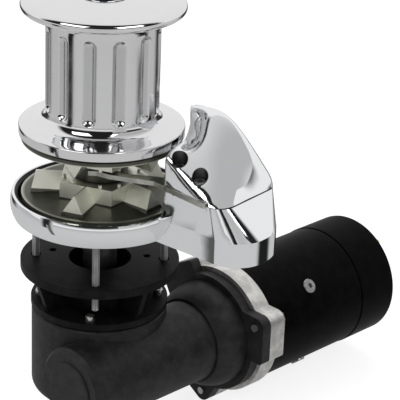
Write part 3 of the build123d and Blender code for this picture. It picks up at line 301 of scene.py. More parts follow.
def housing_chrome(name):
    """Chrome of the hood and ring: wide round edges, a dark joint, and painted shade inside the well and
    the screw counterbores.
    """
    paint = Paint(name, metallic=1.0)
    haze = paint.noise(0.030, 4.0)
    x, y, z = paint.spot()
    off_joint = (z - PARTING).math("ABSOLUTE")
    reach = (x * x + y * y).math("SQRT")
    joint = 1 - off_joint.step(*JOINT_LINE)
    # Painted shade: the inside of the well and the screw counterbores are darkened; the joint line is a
    # dark joint of its own.
    in_well = (1 - reach.step(*WELL_WALL)) * (1 - z.step(*WELL_TOP))
    scoop = (1 - reach.step(*SCOOP_WALL)) * z.step(*SCOOP_BOTTOM)
    off_screw = from_cover_screws(x, y)
    in_hole = 1 - off_screw.step(COUNTERBORE_R, COUNTERBORE_R + 0.3 * MM)
    dark = joint.math("MAXIMUM", in_well).math("MAXIMUM", in_hole * 0.9)
    paint.set("Base Color", paint.blend(dark, CHROME, SHADOW))
    paint.set("Roughness", haze.step(0.35, 0.75, 0.035, 0.085) + dark * 0.4 + scoop * 0.22)
    round_here = off_joint.step(0.4 * HOOD_EDGE, 1.2 * HOOD_EDGE) * z.step(*ABOVE_RING)
    clear_of_holes = off_screw.step(COUNTERBORE_R + 0.5 * MM, COUNTERBORE_R + HOOD_EDGE)
    soft_edges = paint.rounded(HOOD_EDGE, round_here * clear_of_holes)
    paint.bump(paint.noise(0.022, 1.0), WAVES, soft_edges)
    return paint.material


# %% Drum polish
WAIST_STARTS = (112 * MM, 122 * MM)
WAIST_ENDS = (190 * MM, 206 * MM)
FLUTE_DEPTHS = (53.5 * MM, 56.3 * MM)
DRUM_UNDERSIDE = (88.3 * MM, 89.3 * MM)


def polished_drum(name):
    """Chrome with turning lines, duller on the waist and more so in the flutes, with painted shade under
    the drum and in the flutes.
    """
    color = (0.80, 0.80, 0.81)
    paint = Paint(name, metallic=1.0, color=color)
    lines = paint.noise(0.0009, 2.0, (30, 30, 1))
    haze = paint.noise(0.018, 3.0)
    x, y, z = paint.spot()
    on_waist = z.step(*WAIST_STARTS) * (1 - z.step(*WAIST_ENDS))
    in_flute = on_waist * (1 - (x * x + y * y).math("SQRT").step(*FLUTE_DEPTHS))
    paint.set("Roughness", haze.step(0.35, 0.75, 0.05, 0.10) + lines.step(0.55, 0.85, 0.0, 0.06)
              + on_waist * 0.07 + in_flute * 0.08)
    # Painted shade: the drum's underside is darkened, and the flutes a little.
    dark = (1 - z.step(*DRUM_UNDERSIDE)).math("MAXIMUM", in_flute * 0.22)
    paint.set("Base Color", paint.blend(dark, paint.blend(lines, (0.76, 0.76, 0.77), color), SHADOW))
    paint.bump(lines * 0.25 + paint.noise(0.014, 1.0), 0.03 * MM)
    return paint.material


# %% [markdown]
# ## Satin metals
# The gypsy is cast, nickel plated and left satin: slightly warm, with a fine grain. Flat bar and
# screws are drawn steel, whose scratches run one way. The gypsy's dishes, hub and top are
# darkened with painted shade.


# %% Satin metals
GYPSY_MID = 53 * MM
DISH_DEPTHS = (26.0 * MM, 26.6 * MM)
CHEEK_RIM = (76 * MM, 80 * MM)
HUB_REACH = (27 * MM, 34 * MM)
UNDER_DRUM = (82.5 * MM, 83.0 * MM)
NICKEL_SHADE = (0.08, 0.08, 0.065)


def cast_nickel(name):
    """Bright on the teeth, with painted shade in the dishes, towards the shaft and under the drum."""
    paint = Paint(name, metallic=1.0)
    grain = paint.noise(0.0011, 4.0)
    patches = paint.noise(0.016, 3.0)
    x, y, z = paint.spot()
    off_middle = (z - GYPSY_MID).math("ABSOLUTE")
    reach = (x * x + y * y).math("SQRT")
    dish = off_middle.step(*DISH_DEPTHS) * (1 - reach.step(*CHEEK_RIM, 0.0, 0.5))
    inner = 1 - reach.step(*HUB_REACH)
    # Painted shade: the dishes, the hub and the face under the drum take a dark colour, in patches.
    in_shade = dish.math("MAXIMUM", inner).math("MAXIMUM", z.step(*UNDER_DRUM))
    shade_share = in_shade * patches.step(0.2, 0.7, 1.0, 0.94)
    bright = paint.blend(patches.step(0.35, 0.70), (0.84, 0.84, 0.74), (0.92, 0.92, 0.82))
    paint.set("Base Color", paint.blend(shade_share, bright, NICKEL_SHADE))
    paint.set("Roughness", patches.step(0.3, 0.8, 0.40, 0.48) + grain.step(0.5, 0.8, 0.0, 0.06))
    paint.bump(grain, 0.01 * MM)
    return paint.material


def drawn_steel(name, color, roughness, stretch=(12, 12, 1), depth=0.02 * MM):
    """Steel with scratches that run along one axis, so its noise is squeezed on the others."""
    paint = Paint(name, metallic=1.0)
    scratches = paint.noise(0.0010, 3.0, stretch)
    patches = paint.noise(0.012, 3.0)
    dark = tuple(0.80 * c for c in color)
    paint.set("Base Color", paint.blend(patches.step(0.35, 0.70), dark, color))
    paint.set("Roughness", scratches.step(0.3, 0.8, roughness, roughness + 0.14))
    paint.bump(scratches, depth)
    return paint.material


def bare_casting(name):
    """Aluminium as it leaves the sand, with stains."""
    paint = Paint(name, metallic=1.0)
    skin = paint.noise(0.0016, 5.0, rough=0.6)
    stains = paint.noise(0.009, 4.0)
    paint.set("Base Color", paint.blend(stains.step(0.30, 0.75), (0.58, 0.57, 0.55), (0.82, 0.81, 0.79)))
    paint.set("Roughness", skin.step(0.3, 0.7, 0.42, 0.60))
    paint.bump(skin + paint.noise(0.005, 2.0), 0.16 * MM)
    return paint.material


# %% [markdown]
# ## Black paint
# Satin paint over a sand casting follows the grain of the sand, so the gearbox looks dusty and
# grey where the light grazes it. On the turned motor shell the same paint lies smooth.


# %% Paints
def black_paint(name, shade, roughness, grain, depth, gloss=0.30):
    """Paint in a shade of grey over sand of this grain, with worn patches and dust."""
    paint = Paint(name)
    sand = paint.noise(grain, 4.0, rough=0.6)
    patches = paint.noise(0.014, 6.0, rough=0.65)
    dust = paint.noise(0.0007, 1.0)
    paint.set("Specular IOR Level", gloss)
    dark = (shade * 0.6,) * 3
    light = (shade * 1.7,) * 3
    paint.set("Base Color", paint.blend(patches.step(0.35, 0.75), dark, light))
    dusty = dust.step(0.70, 0.80, 0.0, 0.12)
    paint.set("Roughness", sand.step(0.3, 0.7, roughness - 0.05, roughness + 0.07) + dusty)
    paint.bump(sand, depth)
    return paint.material


def plain(name, color, metallic, roughness):
    """Finish of pieces that are closed in: one tone with a little grain."""
    paint = Paint(name, metallic=metallic)
    grain = paint.noise(0.002, 3.0)
    paint.set("Base Color", paint.blend(grain, tuple(0.85 * c for c in color), color))
    paint.set("Roughness", grain.step(0.3, 0.7, roughness - 0.06, roughness + 0.06))
    return paint.material


# %% All finishes
finishes = {
    "chrome_base": housing_chrome("base chrome"),
    "chrome_hood": housing_chrome("hood chrome"),
    "polished_drum": polished_drum("polished drum"),
    "gypsy_nickel": cast_nickel("cast nickel"),
    "stripper_steel": drawn_steel("stripper steel", (0.54, 0.54, 0.50), 0.30, (1, 12, 12), 0.0008 * MM),
    "nut_steel": chrome("clutch nut chrome", (0.84, 0.84, 0.85)),
    "stud_steel": drawn_steel("stud steel", (0.46, 0.46, 0.46), 0.30),
    "screw_steel": drawn_steel("screw steel", (0.66, 0.65, 0.63), 0.24),
    "cover_screw_steel": drawn_steel("cover screw steel", (0.34, 0.34, 0.35), 0.30),
    "pole_screw_steel": drawn_steel("pole screw steel", (0.40, 0.40, 0.40), 0.24),
    "bolt_zinc": drawn_steel("zinc plate", (0.66, 0.66, 0.63), 0.34),
    "black_flange": black_paint("flange paint", 0.007, 0.50, 1.2 * MM, 0.05 * MM, 0.12),
    "black_gearbox": black_paint("gearbox paint", 0.015, 0.50, 1.3 * MM, 0.08 * MM),
    "black_cap": black_paint("end cap paint", 0.015, 0.50, 1.2 * MM, 0.06 * MM),
    "motor_flange_cast": bare_casting("bare casting"),
    "motor_shell_black": black_paint("motor paint", 0.0025, 0.36, 0.8 * MM, 0.02 * MM, 0.03),
    "motor_cap_black": black_paint("motor cap paint", 0.0025, 0.36, 0.8 * MM, 0.02 * MM, 0.03),
    "shaft_steel": drawn_steel("ground steel", (0.30, 0.30, 0.31), 0.28),
    "clutch_steel": plain("turned clutch steel", (0.50, 0.50, 0.50), 1.0, 0.35),
    "key_steel": plain("key steel", (0.45, 0.45, 0.45), 1.0, 0.35),
    "bearing_steel": plain("bearing steel", (0.55, 0.55, 0.56), 1.0, 0.25),
    "bush_plastic": plain("bush plastic", (0.70, 0.69, 0.65), 0.0, 0.50),
    "seal_rubber": plain("seal rubber", (0.02, 0.02, 0.02), 0.0, 0.60),
    "wheel_bronze": plain("wheel bronze", (0.62, 0.42, 0.20), 1.0, 0.35),
    "coupling_steel": plain("coupling steel", (0.45, 0.45, 0.45), 1.0, 0.35),
    "core_steel": plain("core steel", (0.30, 0.30, 0.30), 1.0, 0.45),
    "copper": plain("enamelled copper", (0.72, 0.36, 0.20), 1.0, 0.35),
    "commutator_copper": plain("commutator copper", (0.75, 0.42, 0.26), 1.0, 0.30),
    "brush_carbon": plain("brush carbon", (0.04, 0.04, 0.04), 0.0, 0.60),
    "plate_resin": plain("plate resin", (0.26, 0.17, 0.09), 0.0, 0.50),
    "terminal_brass": plain("terminal brass", (0.72, 0.58, 0.30), 1.0, 0.28),
}
slot_of = {part["node"]: part["material_slot"] for part in frame["record"]["subparts"]}
for name, cad in nodes.items():
    cad.data.materials.clear()
    cad.data.materials.append(finishes[slot_of[name]])
print("finishes:", len(finishes))

# %% [markdown]
# ## Finer copies of the engineering pieces
# The engineering mesh comes as loose triangles. For a piece with a machined or cast edge, a copy
# is merged, its flat faces are joined, and its edges get a narrow bevel, because a real edge
# always catches a line of light. Curved walls are shaded smooth and sharp edges stay sharp.


# %% Dressing helpers
MERGE = 0.002 * MM
FLAT_TURN = math.radians(1.0)
EDGE_TURN = math.radians(30.0)
EDGE_STEPS = 2


def new_object(name, mesh, finish):
    """Put a finished mesh into the scene, at the origin."""
    mesh.materials.clear()
    mesh.materials.append(finishes[finish])
    piece = bpy.data.objects.new(name, mesh)
    bpy.context.scene.collection.objects.link(piece)
    return piece


def mark_sharp(work, limit=30.0):
    """Smooth shading everywhere but over edges sharper than the limit."""
    for face in work.faces:
        face.smooth = True
    for edge in work.edges:
        edge.smooth = len(edge.link_faces) == 2 and edge.calc_face_angle(0.0) < math.radians(limit)


def stands_for(piece, node):
    """The piece takes the place of one engineering node: it rides on the node's body, and the node is
    hidden.
    """
    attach(piece, nodes[node]["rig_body"])
    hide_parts(node)


def merged(node):
    """Mesh of an engineering node, its loose triangles joined. The caller frees it."""
    work = bmesh.new()
    work.from_mesh(nodes[node].data)
    bmesh.ops.remove_doubles(work, verts=work.verts, dist=MERGE)
    return work


def plain_copy(piece):
    """The mesh that an object's modifiers make."""
    evaluated = piece.evaluated_get(bpy.context.evaluated_depsgraph_get())
    return bpy.data.meshes.new_from_object(evaluated)


def dressed(node, name, bevel=0.0, crease=30.0):
    """Merged copy of an engineering node with narrow bevels, standing in its place."""
    work = merged(node)
    bmesh.ops.dissolve_limit(work, angle_limit=FLAT_TURN, verts=work.verts, edges=work.edges)
    mark_sharp(work, crease)
    mesh = bpy.data.meshes.new(name)
    work.to_mesh(mesh)
    work.free()
    piece = new_object(name, mesh, slot_of[node])
    if bevel:
        soft = piece.modifiers.new("edge", "BEVEL")
        soft.width = bevel
        soft.segments = EDGE_STEPS
        soft.limit_method = "ANGLE"
        soft.angle_limit = EDGE_TURN
        soft.harden_normals = True
        soft.miter_outer = "MITER_ARC"
        mesh = plain_copy(piece)
        piece.modifiers.clear()
        piece.data = mesh
    stands_for(piece, node)
    print(name, "faces:", len(piece.data.polygons))


# %% Dressed pieces
dressed("gypsy", "gypsy_wheel", 0.9 * MM)
dressed("chain_stripper", "stripper_bar", 0.35 * MM)
dressed("base_housing", "base_casting", 0.6 * MM, crease=13)
dressed("hood_cover", "hood_cap", 0.6 * MM)
dressed("deck_flange", "deck_flange_casting", 0.8 * MM)
dressed("gearbox_housing", "gearbox_casting", 0.8 * MM)
dressed("worm_end_cap", "end_cap", 0.4 * MM)
dressed("motor_flange", "motor_flange_casting", 0.8 * MM)
dressed("motor_shell", "motor_shell_tube", 0.3 * MM)
dressed("motor_end_cap", "motor_cap", 0.3 * MM)
dressed("clutch_nut", "clutch_nut_star", 0.4 * MM)
dressed("main_shaft", "main_shaft_bar")
dressed("motor_terminals", "terminal_pair", 0.3 * MM)

# %% [markdown]
# ## Rules for what repeats
# Screws, threads and flutes repeat, and one rule makes them all. A Geometry Nodes tree is such a
# rule: it takes a few named sizes and grows the pieces on seed points. Here the trees are written
# in Python. Each ends by making its copies real and giving them their finish, and its result is
# kept as a plain mesh.


# %% Geometry helpers
ROD_SIDES = 24


class Rule(Nodes):
    """A geometry tree under construction, with a named input for each size."""

    def __init__(self, name, sizes):
        super().__init__(bpy.data.node_groups.new(name, "GeometryNodeTree"))
        kinds = {"Seed": "NodeSocketGeometry", "Finish": "NodeSocketMaterial"}
        kinds.update({size: "NodeSocketFloat" for size in sizes})
        sides = self.tree.interface
        self.keys = {size: sides.new_socket(size, in_out="INPUT", socket_type=kind).identifier
                     for size, kind in kinds.items()}
        sides.new_socket("Piece", in_out="OUTPUT", socket_type="NodeSocketGeometry")
        self.given = self.tree.nodes.new("NodeGroupInput").outputs
        self.sizes = [Value(self, self.given[size]) for size in sizes]

    def vector(self, x, y, z):
        return self.node("ShaderNodeCombineXYZ", None, {"X": x, "Y": y, "Z": z}).outputs[0]

    def place(self):
        """Place of each vertex, its distance from the z axis and its turn about it."""
        position = self.node("GeometryNodeInputPosition").outputs[0]
        split = self.node("ShaderNodeSeparateXYZ", None, {"Vector": position}).outputs
        x, y, z = (Value(self, socket) for socket in split)
        return x, y, z, (x * x + y * y).math("SQRT"), y.math("ARCTAN2", x)

    def reshape(self, mesh, share, where=True):
        """Move the chosen vertices towards the z axis, to a share of their distance from it."""
        x, y, z, _, _ = self.place()
        moved = self.vector(x * share, y * share, z)
        sockets = {"Geometry": mesh, "Selection": where, "Position": moved}
        return self.node("GeometryNodeSetPosition", None, sockets).outputs[0]

    def rod(self, radius, length, middle):
        """Closed cylinder about the z axis, with the selection of its top face."""
        sockets = {"Vertices": ROD_SIDES, "Radius": radius, "Depth": length}
        rod = self.node("GeometryNodeMeshCylinder", {"fill_type": "NGON"}, sockets).outputs
        sockets = {"Geometry": rod["Mesh"], "Translation": self.vector(0, 0, middle)}
        return self.node("GeometryNodeTransform", None, sockets).outputs[0], rod["Top"]

    def raise_face(self, mesh, face, height):
        """Extrude a face upwards."""
        upward = self.vector(0, 0, height)
        sockets = {"Mesh": mesh, "Selection": face, "Offset": upward, "Individual": False}
        raised = self.node("GeometryNodeExtrudeMesh", {"mode": "FACES"}, sockets).outputs
        return raised["Mesh"], raised["Top"]

    def end(self, piece, turn=(0, 0, 0)):
        """Put a copy on every seed."""
        sockets = {"Points": self.given["Seed"], "Instance": piece, "Rotation": turn}
        self.close(self.node("GeometryNodeInstanceOnPoints", None, sockets).outputs[0])

    def close(self, geometry):
        """Make all copies real, give them the finish and hand them out."""
        real = self.node("GeometryNodeRealizeInstances", None, {"Geometry": geometry}).outputs[0]
        sockets = {"Geometry": real, "Material": self.given["Finish"]}
        painted = self.node("GeometryNodeSetMaterial", None, sockets).outputs[0]
        self.tree.links.new(painted, self.tree.nodes.new("NodeGroupOutput").inputs[0])


def grown(name, rule, seed, finish, sizes, limit=30.0):
    """Plain mesh object that a rule makes from a seed mesh."""
    carrier = bpy.data.objects.new(name + "_seed", seed)
    bpy.context.scene.collection.objects.link(carrier)
    modifier = carrier.modifiers.new("rule", "NODES")
    modifier.node_group = rule.tree
    modifier[rule.keys["Finish"]] = finishes[finish]
    for size, value in sizes.items():
        modifier[rule.keys[size]] = float(value)
    mesh = plain_copy(carrier)
    bpy.data.objects.remove(carrier)
    work = bmesh.new()
    work.from_mesh(mesh)
    mark_sharp(work, limit)
    work.to_mesh(mesh)
    work.free()
    mesh.name = name
    piece = new_object(name, mesh, finish)
    print(name, "faces:", len(mesh.polygons))
    return piece


def seeds(name, places, directions):
    """Loose points, each with the direction its screw head looks in."""
    mesh = bpy.data.meshes.new(name)
    mesh.from_pydata([tuple(place) for place in places], [], [])
    arrows = mesh.attributes.new("direction", "FLOAT_VECTOR", "POINT")
    for arrow, direction in zip(arrows.data, directions):
        arrow.vector = direction
    return mesh


def solid_boxes(node):
    """Low and high corner of each separate solid of an engineering node."""
    work = merged(node)
    waiting = set(work.verts)
    boxes = []
    while waiting:
        reached = {waiting.pop()}
        queue = list(reached)
        while queue:
            vert = queue.pop()
            for edge in vert.link_edges:
                beside = edge.other_vert(vert)
                if beside in waiting:
                    waiting.discard(beside)
                    reached.add(beside)
                    queue.append(beside)
        points = np.array([vert.co for vert in reached])
        boxes.append((Vector(points.min(0)), Vector(points.max(0))))
    work.free()
    return sorted(boxes, key=lambda box: tuple(box[0]))


# %% [markdown]
# ## Deck studs
# The studs are threaded over their whole length below the deck. A thread is a ridge that climbs
# one pitch in each turn. The tree bends a fine tube: its radius goes up and down with height, and
# the wave is moved on by the angle round the stud, which makes the ring-shaped waves a helix.

# %% Deck studs
STUD_SIDES = 16
ROWS_IN_PITCH = 6
STUD_SIZES = {"Radius": 3.98 * MM, "Core": 3.6 * MM, "Pitch": 1.25 * MM, "Bottom": -78 * MM,
              "Deck": 0.0, "Top": 16 * MM}


def thread_rule():
    """Rod with a thread below the deck, and a plain core that is screwed in above it."""
    rule = Rule("threaded stud", STUD_SIZES)
    radius, core, pitch, bottom, deck, top = rule.sizes
    sockets = {"Start": rule.vector(0, 0, bottom), "End": rule.vector(0, 0, top)}
    line = rule.node("GeometryNodeCurvePrimitiveLine", None, sockets).outputs[0]
    rows = (top - bottom).math("DIVIDE", pitch) * ROWS_IN_PITCH
    sockets = {"Curve": line, "Count": rows}
    axis = rule.node("GeometryNodeResampleCurve", {"mode": "COUNT"}, sockets).outputs[0]
    sockets = {"Resolution": STUD_SIDES, "Radius": radius}
    ring = rule.node("GeometryNodeCurvePrimitiveCircle", {"mode": "RADIUS"}, sockets).outputs[0]
    sockets = {"Curve": axis, "Profile Curve": ring, "Fill Caps": True}
    tube = rule.node("GeometryNodeCurveToMesh", None, sockets).outputs[0]
    _, _, z, _, turn = rule.place()
    wave = (z.math("DIVIDE", pitch) - turn * (0.5 / math.pi)).math("PINGPONG", 0.5) * 2
    ridge = (radius - (radius - core) * wave).math("MINIMUM", core + (z - bottom))
    reach = core + z.math("LESS_THAN", deck) * (ridge - core)
    rule.end(rule.reshape(tube, reach.math("DIVIDE", radius)))
    return rule


stud_boxes = solid_boxes("deck_studs")
stud_feet = [((low.x + high.x) / 2, (low.y + high.y) / 2, 0) for low, high in stud_boxes]
stud_seeds = seeds("stud_seeds", stud_feet, [(0, 0, 1)] * len(stud_feet))
studs = grown("threaded_studs", thread_rule(), stud_seeds, "stud_steel", STUD_SIZES, 60)
stands_for(studs, "deck_studs")

# %% [markdown]
# ## Screws and bolts
# Every screw here is the same idea with other sizes: a head with a chamfer and a recess, on a
# shank. The recess is a hexagon or a star, and the head is round or a hexagon. One tree makes
# them all, with numbers that say how far each outline leaves the circle, and each head looks along
# the direction that its seed point carries.


# %% Screw rule
SCREW_SIZES = ("Head radius", "Head corners", "Head height", "Chamfer", "Recess radius",
               "Recess corners", "Recess star", "Recess depth", "Shank radius", "Shank length")


def screw_rule():
    """One screw with its seat at the origin and its head along z, copied to each seed."""
    rule = Rule("screw", SCREW_SIZES)
    head_r, head_corners, head_h, chamfer = rule.sizes[:4]
    recess_r, corners, star, depth, shank_r, shank_length = rule.sizes[4:]
    _, _, _, reach, turn = rule.place()
    half_side = math.pi / 6
    from_flat = turn.math("PINGPONG", half_side) * -1 + half_side
    hexagon = from_flat.math("COSINE").math("POWER", -1) * math.cos(half_side) - 1
    lobes = (turn * 6).math("COSINE") * 0.5 - 0.5
    head, top = rule.rod(head_r, head_h - chamfer, (head_h - chamfer) * 0.5)
    head = rule.reshape(head, head_corners * hexagon + 1)
    head, top = rule.raise_face(head, top, chamfer)
    head = rule.reshape(head, 1 - chamfer.math("DIVIDE", head_r), top)
    head, top = rule.raise_face(head, top, 0)
    outline = recess_r * (corners * hexagon + 1) * (star * lobes + 1)
    head = rule.reshape(head, outline.math("DIVIDE", reach), top)
    head, top = rule.raise_face(head, top, depth * -1)
    shank, _ = rule.rod(shank_r, shank_length, shank_length * -0.5)
    both = rule.node("GeometryNodeJoinGeometry")
    rule.tree.links.new(shank, both.inputs[0])
    rule.tree.links.new(head, both.inputs[0])
    settings = {"data_type": "FLOAT_VECTOR"}
    arrow = rule.node("GeometryNodeInputNamedAttribute", settings, {"Name": "direction"}).outputs[0]
    turned = rule.node("FunctionNodeAlignRotationToVector", {"axis": "Z"}, {"Vector": arrow})
    rule.end(both.outputs[0], turned.outputs[0])
    return rule


screw = screw_rule()


def screws(node, name, places, directions, sizes):
    """Screws on seed points, standing in for one engineering node. Sizes in millimetres."""
    shares = ("Head corners", "Recess corners", "Recess star")
    metres = {size: value if size in shares else value * MM for size, value in zip(SCREW_SIZES, sizes)}
    seed = seeds(name + "_seeds", places, directions)
    stands_for(grown(name, screw, seed, slot_of[node], metres), node)


# %% Screws and bolts
MOTOR_AXIS = Vector((50 * MM, 0, -156 * MM))
COVER_HEAD = 8  # the four rows of sizes below follow SCREW_SIZES, in millimetres
GEARBOX_SEAT = -93 * MM
FLANGE_SEAT = 146 * MM
POLE_SEAT_R = 65 * MM
COVER_SCREW = (6.5, 0, COVER_HEAD, 0.6, 3.4, 1, 0, 4, 3.9, 33.5)
GEARBOX_SCREW = (5, 0, 6, 0.7, 2.8, 1, 0, 3, 2.95, 27)
FLANGE_BOLT = (7.5, 1, 5.5, 0.8, 5.2, 0, 0, 0.4, 3.95, 35.4)
POLE_SCREW = (8, 0, 4, 0.9, 3.6, 0, 0.35, 2.4, 4.4, 14)


def middles(node):
    """Middle of each solid of a node, and its highest point."""
    return [((low + high) / 2, high.z) for low, high in solid_boxes(node)]


places = [(spot.x, spot.y, top - COVER_HEAD * MM) for spot, top in middles("cover_screws")]
screws("cover_screws", "cover_screw_pair", places, [(0, 0, 1)] * len(places), COVER_SCREW)
places = [(spot.x, spot.y, GEARBOX_SEAT) for spot, _ in middles("gearbox_screws")]
screws("gearbox_screws", "gearbox_screw_set", places, [(0, 0, 1)] * len(places), GEARBOX_SCREW)
places = [(spot.x, FLANGE_SEAT, spot.z) for spot, _ in middles("flange_bolts")]
screws("flange_bolts", "flange_bolt_set", places, [(0, 1, 0)] * len(places), FLANGE_BOLT)
spots = [spot for spot, _ in middles("pole_screws")]
outward = [((spot - MOTOR_AXIS) * Vector((1, 0, 1))).normalized() for spot in spots]
places = [MOTOR_AXIS + POLE_SEAT_R * way + Vector((0, spot.y, 0)) for way, spot in zip(outward, spots)]
screws("pole_screws", "pole_screw_set", places, outward, POLE_SCREW)

# %% [markdown]
# ## The drum
# The drum is a turned body with twelve round-ended flutes milled into the waist, then polished
# until the flute edges are soft. A lathe mesh with its radius lowered over each flute gives clean
# quads that run with the reflections, which a boolean cut would not. Twelve flutes follow one
# rule, so a tree makes them. Where flute and waist meet, a smooth minimum rounds the edge as the
# polishing wheel does.

# %% Drum outline
_, drum_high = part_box("drum")
DRUM_FLANGE_R = drum_high.x
DRUM_BOTTOM = 87.5 * MM
DRUM_TOP = drum_high.z
FLANGE_TOP = 98.5 * MM
FLANGE_EDGE = 1.5 * MM
ROOT_R = 66 * MM
ROOT_Z = 101.5 * MM
WAIST_R = 56.5 * MM
WAIST_BOTTOM = 113 * MM
WAIST_TOP = 205 * MM
ROOT_BEND = (59.4 * MM, 105.0 * MM)
SHOULDER_BEND = (59.5 * MM, 211.5 * MM)
SHOULDER_R = 67 * MM
SHOULDER_Z = 214.5 * MM
LIP_R = 81.4 * MM
LIP_Z = 220.5 * MM
LIP_ROUND = 5.5 * MM
CROWN_R = 52 * MM
CROWN_Z = 228.2 * MM
POCKET_R = 24.5 * MM
POCKET_FLOOR = 200 * MM
BORE_R = 17.5 * MM
HUB_R = 28 * MM
HUB_BOTTOM = 85 * MM
SHELL_R = 46 * MM
SHELL_ROOF = 196 * MM
FLUTES = 12
FLUTE_TURN = 5.0
FLUTE_R = 8 * MM
FLUTE_AXIS_R = 60 * MM
FLUTE_BOTTOM = 120.7 * MM
FLUTE_TOP = 193.3 * MM
FLUTE_EDGE = 2.0 * MM
FLUTE_STEPS = 20
LAND_STEPS = 6


def curve_through(start, middle, end, steps):
    """Points of a parabola through three points, without the first."""
    (r0, z0), (r1, z1), (r2, z2) = start, middle, end
    points = []
    for index in range(1, steps + 1):
        t = index / steps
        first = (1 - t) * (1 - 2 * t)
        second = 4 * t * (1 - t)
        third = t * (2 * t - 1)
        points.append((first * r0 + second * r1 + third * r2, first * z0 + second * z1 + third * z2))
    return points


def round_turn(centre, radius, start, end, steps):
    """Points of an arc in the outline, angles in degrees from outwards."""
    angles = np.radians(np.linspace(start, end, steps))
    return [(centre[0] + radius * math.cos(a), centre[1] + radius * math.sin(a)) for a in angles]


def drum_outline():
    """Closed half section of the drum, from the inside of the shell round to itself."""
    edge = FLANGE_EDGE
    points = [(SHELL_R, DRUM_BOTTOM), (DRUM_FLANGE_R - 6 * edge, DRUM_BOTTOM)]
    points += round_turn((DRUM_FLANGE_R - edge, DRUM_BOTTOM + edge), edge, -90, 0, 6)
    points += round_turn((DRUM_FLANGE_R - edge, FLANGE_TOP - edge), edge, 0, 80, 6)
    points += [(ROOT_R + t * (DRUM_FLANGE_R - edge - ROOT_R), ROOT_Z - t ** 0.8 * (ROOT_Z - FLANGE_TOP))
               for t in (0.75, 0.5, 0.25, 0.1, 0.0)]
    points += curve_through((ROOT_R, ROOT_Z), ROOT_BEND, (WAIST_R, WAIST_BOTTOM), 14)
    ends = list(np.linspace(FLUTE_BOTTOM - FLUTE_R, FLUTE_BOTTOM + 1 * MM, 18))
    tops = [FLUTE_BOTTOM + FLUTE_TOP - z for z in reversed(ends)]
    middle = list(np.linspace(ends[-1], tops[0], 12))[1:-1]
    points += [(WAIST_R, z) for z in ends + middle + tops]
    points += [(WAIST_R, WAIST_TOP)]
    points += curve_through((WAIST_R, WAIST_TOP), SHOULDER_BEND, (SHOULDER_R, SHOULDER_Z), 12)
    points += [(LIP_R - LIP_ROUND, LIP_Z - LIP_ROUND)]
    points += round_turn((LIP_R - LIP_ROUND, LIP_Z), LIP_ROUND, -80, 80, 14)
    points += curve_through((LIP_R - LIP_ROUND, LIP_Z + LIP_ROUND), (CROWN_R, CROWN_Z),
                            (POCKET_R + 1.2 * MM, DRUM_TOP), 12)
    points += [(POCKET_R + 0.3 * MM, DRUM_TOP - 0.4 * MM), (POCKET_R, DRUM_TOP - 1.4 * MM)]
    points += [(POCKET_R, POCKET_FLOOR), (BORE_R, POCKET_FLOOR), (BORE_R, HUB_BOTTOM)]
    points += [(HUB_R, HUB_BOTTOM), (HUB_R, SHELL_ROOF), (SHELL_R, SHELL_ROOF)]
    return points


print("drum outline points:", len(drum_outline()))


# %% Flutes
FLUTE_SIZES = {"Waist": WAIST_R, "Count": FLUTES, "First": math.radians(FLUTE_TURN), "Cutter": FLUTE_R,
               "Cutter axis": FLUTE_AXIS_R, "Bottom": FLUTE_BOTTOM, "Top": FLUTE_TOP, "Edge": FLUTE_EDGE}


def flute_rule():
    """Lowers the waist of a lathed drum over each flute, as a ball-ended cutter would."""
    rule = Rule("flutes", FLUTE_SIZES)
    waist, count, first, cutter, axis, bottom, top, edge = rule.sizes
    _, _, z, radius, turn = rule.place()
    sector = count.math("POWER", -1) * (2 * math.pi)
    to_flute = (turn - first + sector * 0.5).math("FLOORED_MODULO", sector) - sector * 0.5
    past_end = (bottom - z).math("MAXIMUM", z - top).math("MAXIMUM", 0.0)
    across = axis * to_flute.math("SINE")
    room = cutter * cutter - past_end * past_end - across * across
    floor = axis * to_flute.math("COSINE") - room.math("MAXIMUM", 0.0).math("SQRT")
    outside = room.math("LESS_THAN", 0.0)
    cut = waist.math("SMOOTH_MIN", floor + outside * waist, edge)
    on_waist = (radius - waist).math("ABSOLUTE").math("LESS_THAN", 0.01 * MM)
    rule.close(rule.reshape(rule.given["Seed"], cut.math("DIVIDE", waist), on_waist.socket))
    return rule


def drum_angles():
    """Angles round the drum, close together over the flutes."""
    half = math.asin(FLUTE_R / FLUTE_AXIS_R)
    sector = 2 * math.pi / FLUTES
    over = [half * math.sin(math.pi / 2 * t) for t in np.linspace(-1, 1, FLUTE_STEPS)]
    land = list(np.linspace(half, sector - half, LAND_STEPS))[1:-1]
    first = math.radians(FLUTE_TURN)
    return [first + flute * sector + a for flute in range(FLUTES) for a in over + land]


def lathed_drum():
    """The turned drum before its flutes are milled."""
    outline = drum_outline()
    angles = drum_angles()
    verts = []
    for radius, height in outline:
        verts += [(radius * math.cos(angle), radius * math.sin(angle), height) for angle in angles]
    rows = len(outline)
    columns = len(angles)
    faces = []
    for row in range(rows):
        below = row * columns
        above = (row + 1) % rows * columns
        for column in range(columns):
            beside = (column + 1) % columns
            faces.append((below + column, below + beside, above + beside, above + column))
    mesh = bpy.data.meshes.new("lathed_drum")
    mesh.from_pydata(verts, [], faces)
    work = bmesh.new()
    work.from_mesh(mesh)
    bmesh.ops.recalc_face_normals(work, faces=work.faces)
    work.to_mesh(mesh)
    work.free()
    return mesh


drum = grown("rope_drum", flute_rule(), lathed_drum(), "polished_drum", FLUTE_SIZES, 38)
stands_for(drum, "drum")

# %% [markdown]
# ## Studio
# A product photographer lights chrome with large white surfaces and keeps the rest of the room
# black. Here the floor glows white for the camera and grey for mirrors, so that the chrome has a
# horizon. Two soft boxes hang in front and one behind.

# %% Floor
bpy.context.scene.view_settings.view_transform = "Standard"
STUDIO_GREY = 0.50
FLOOR_COLOR = 0.40
FLOOR_GLOW = 0.80
FLOOR_IN_MIRRORS = 0.27
FLOOR_SIZE = 12
FLOOR_DROP = 0.5 * MM
lowest = cad_box[0][2]


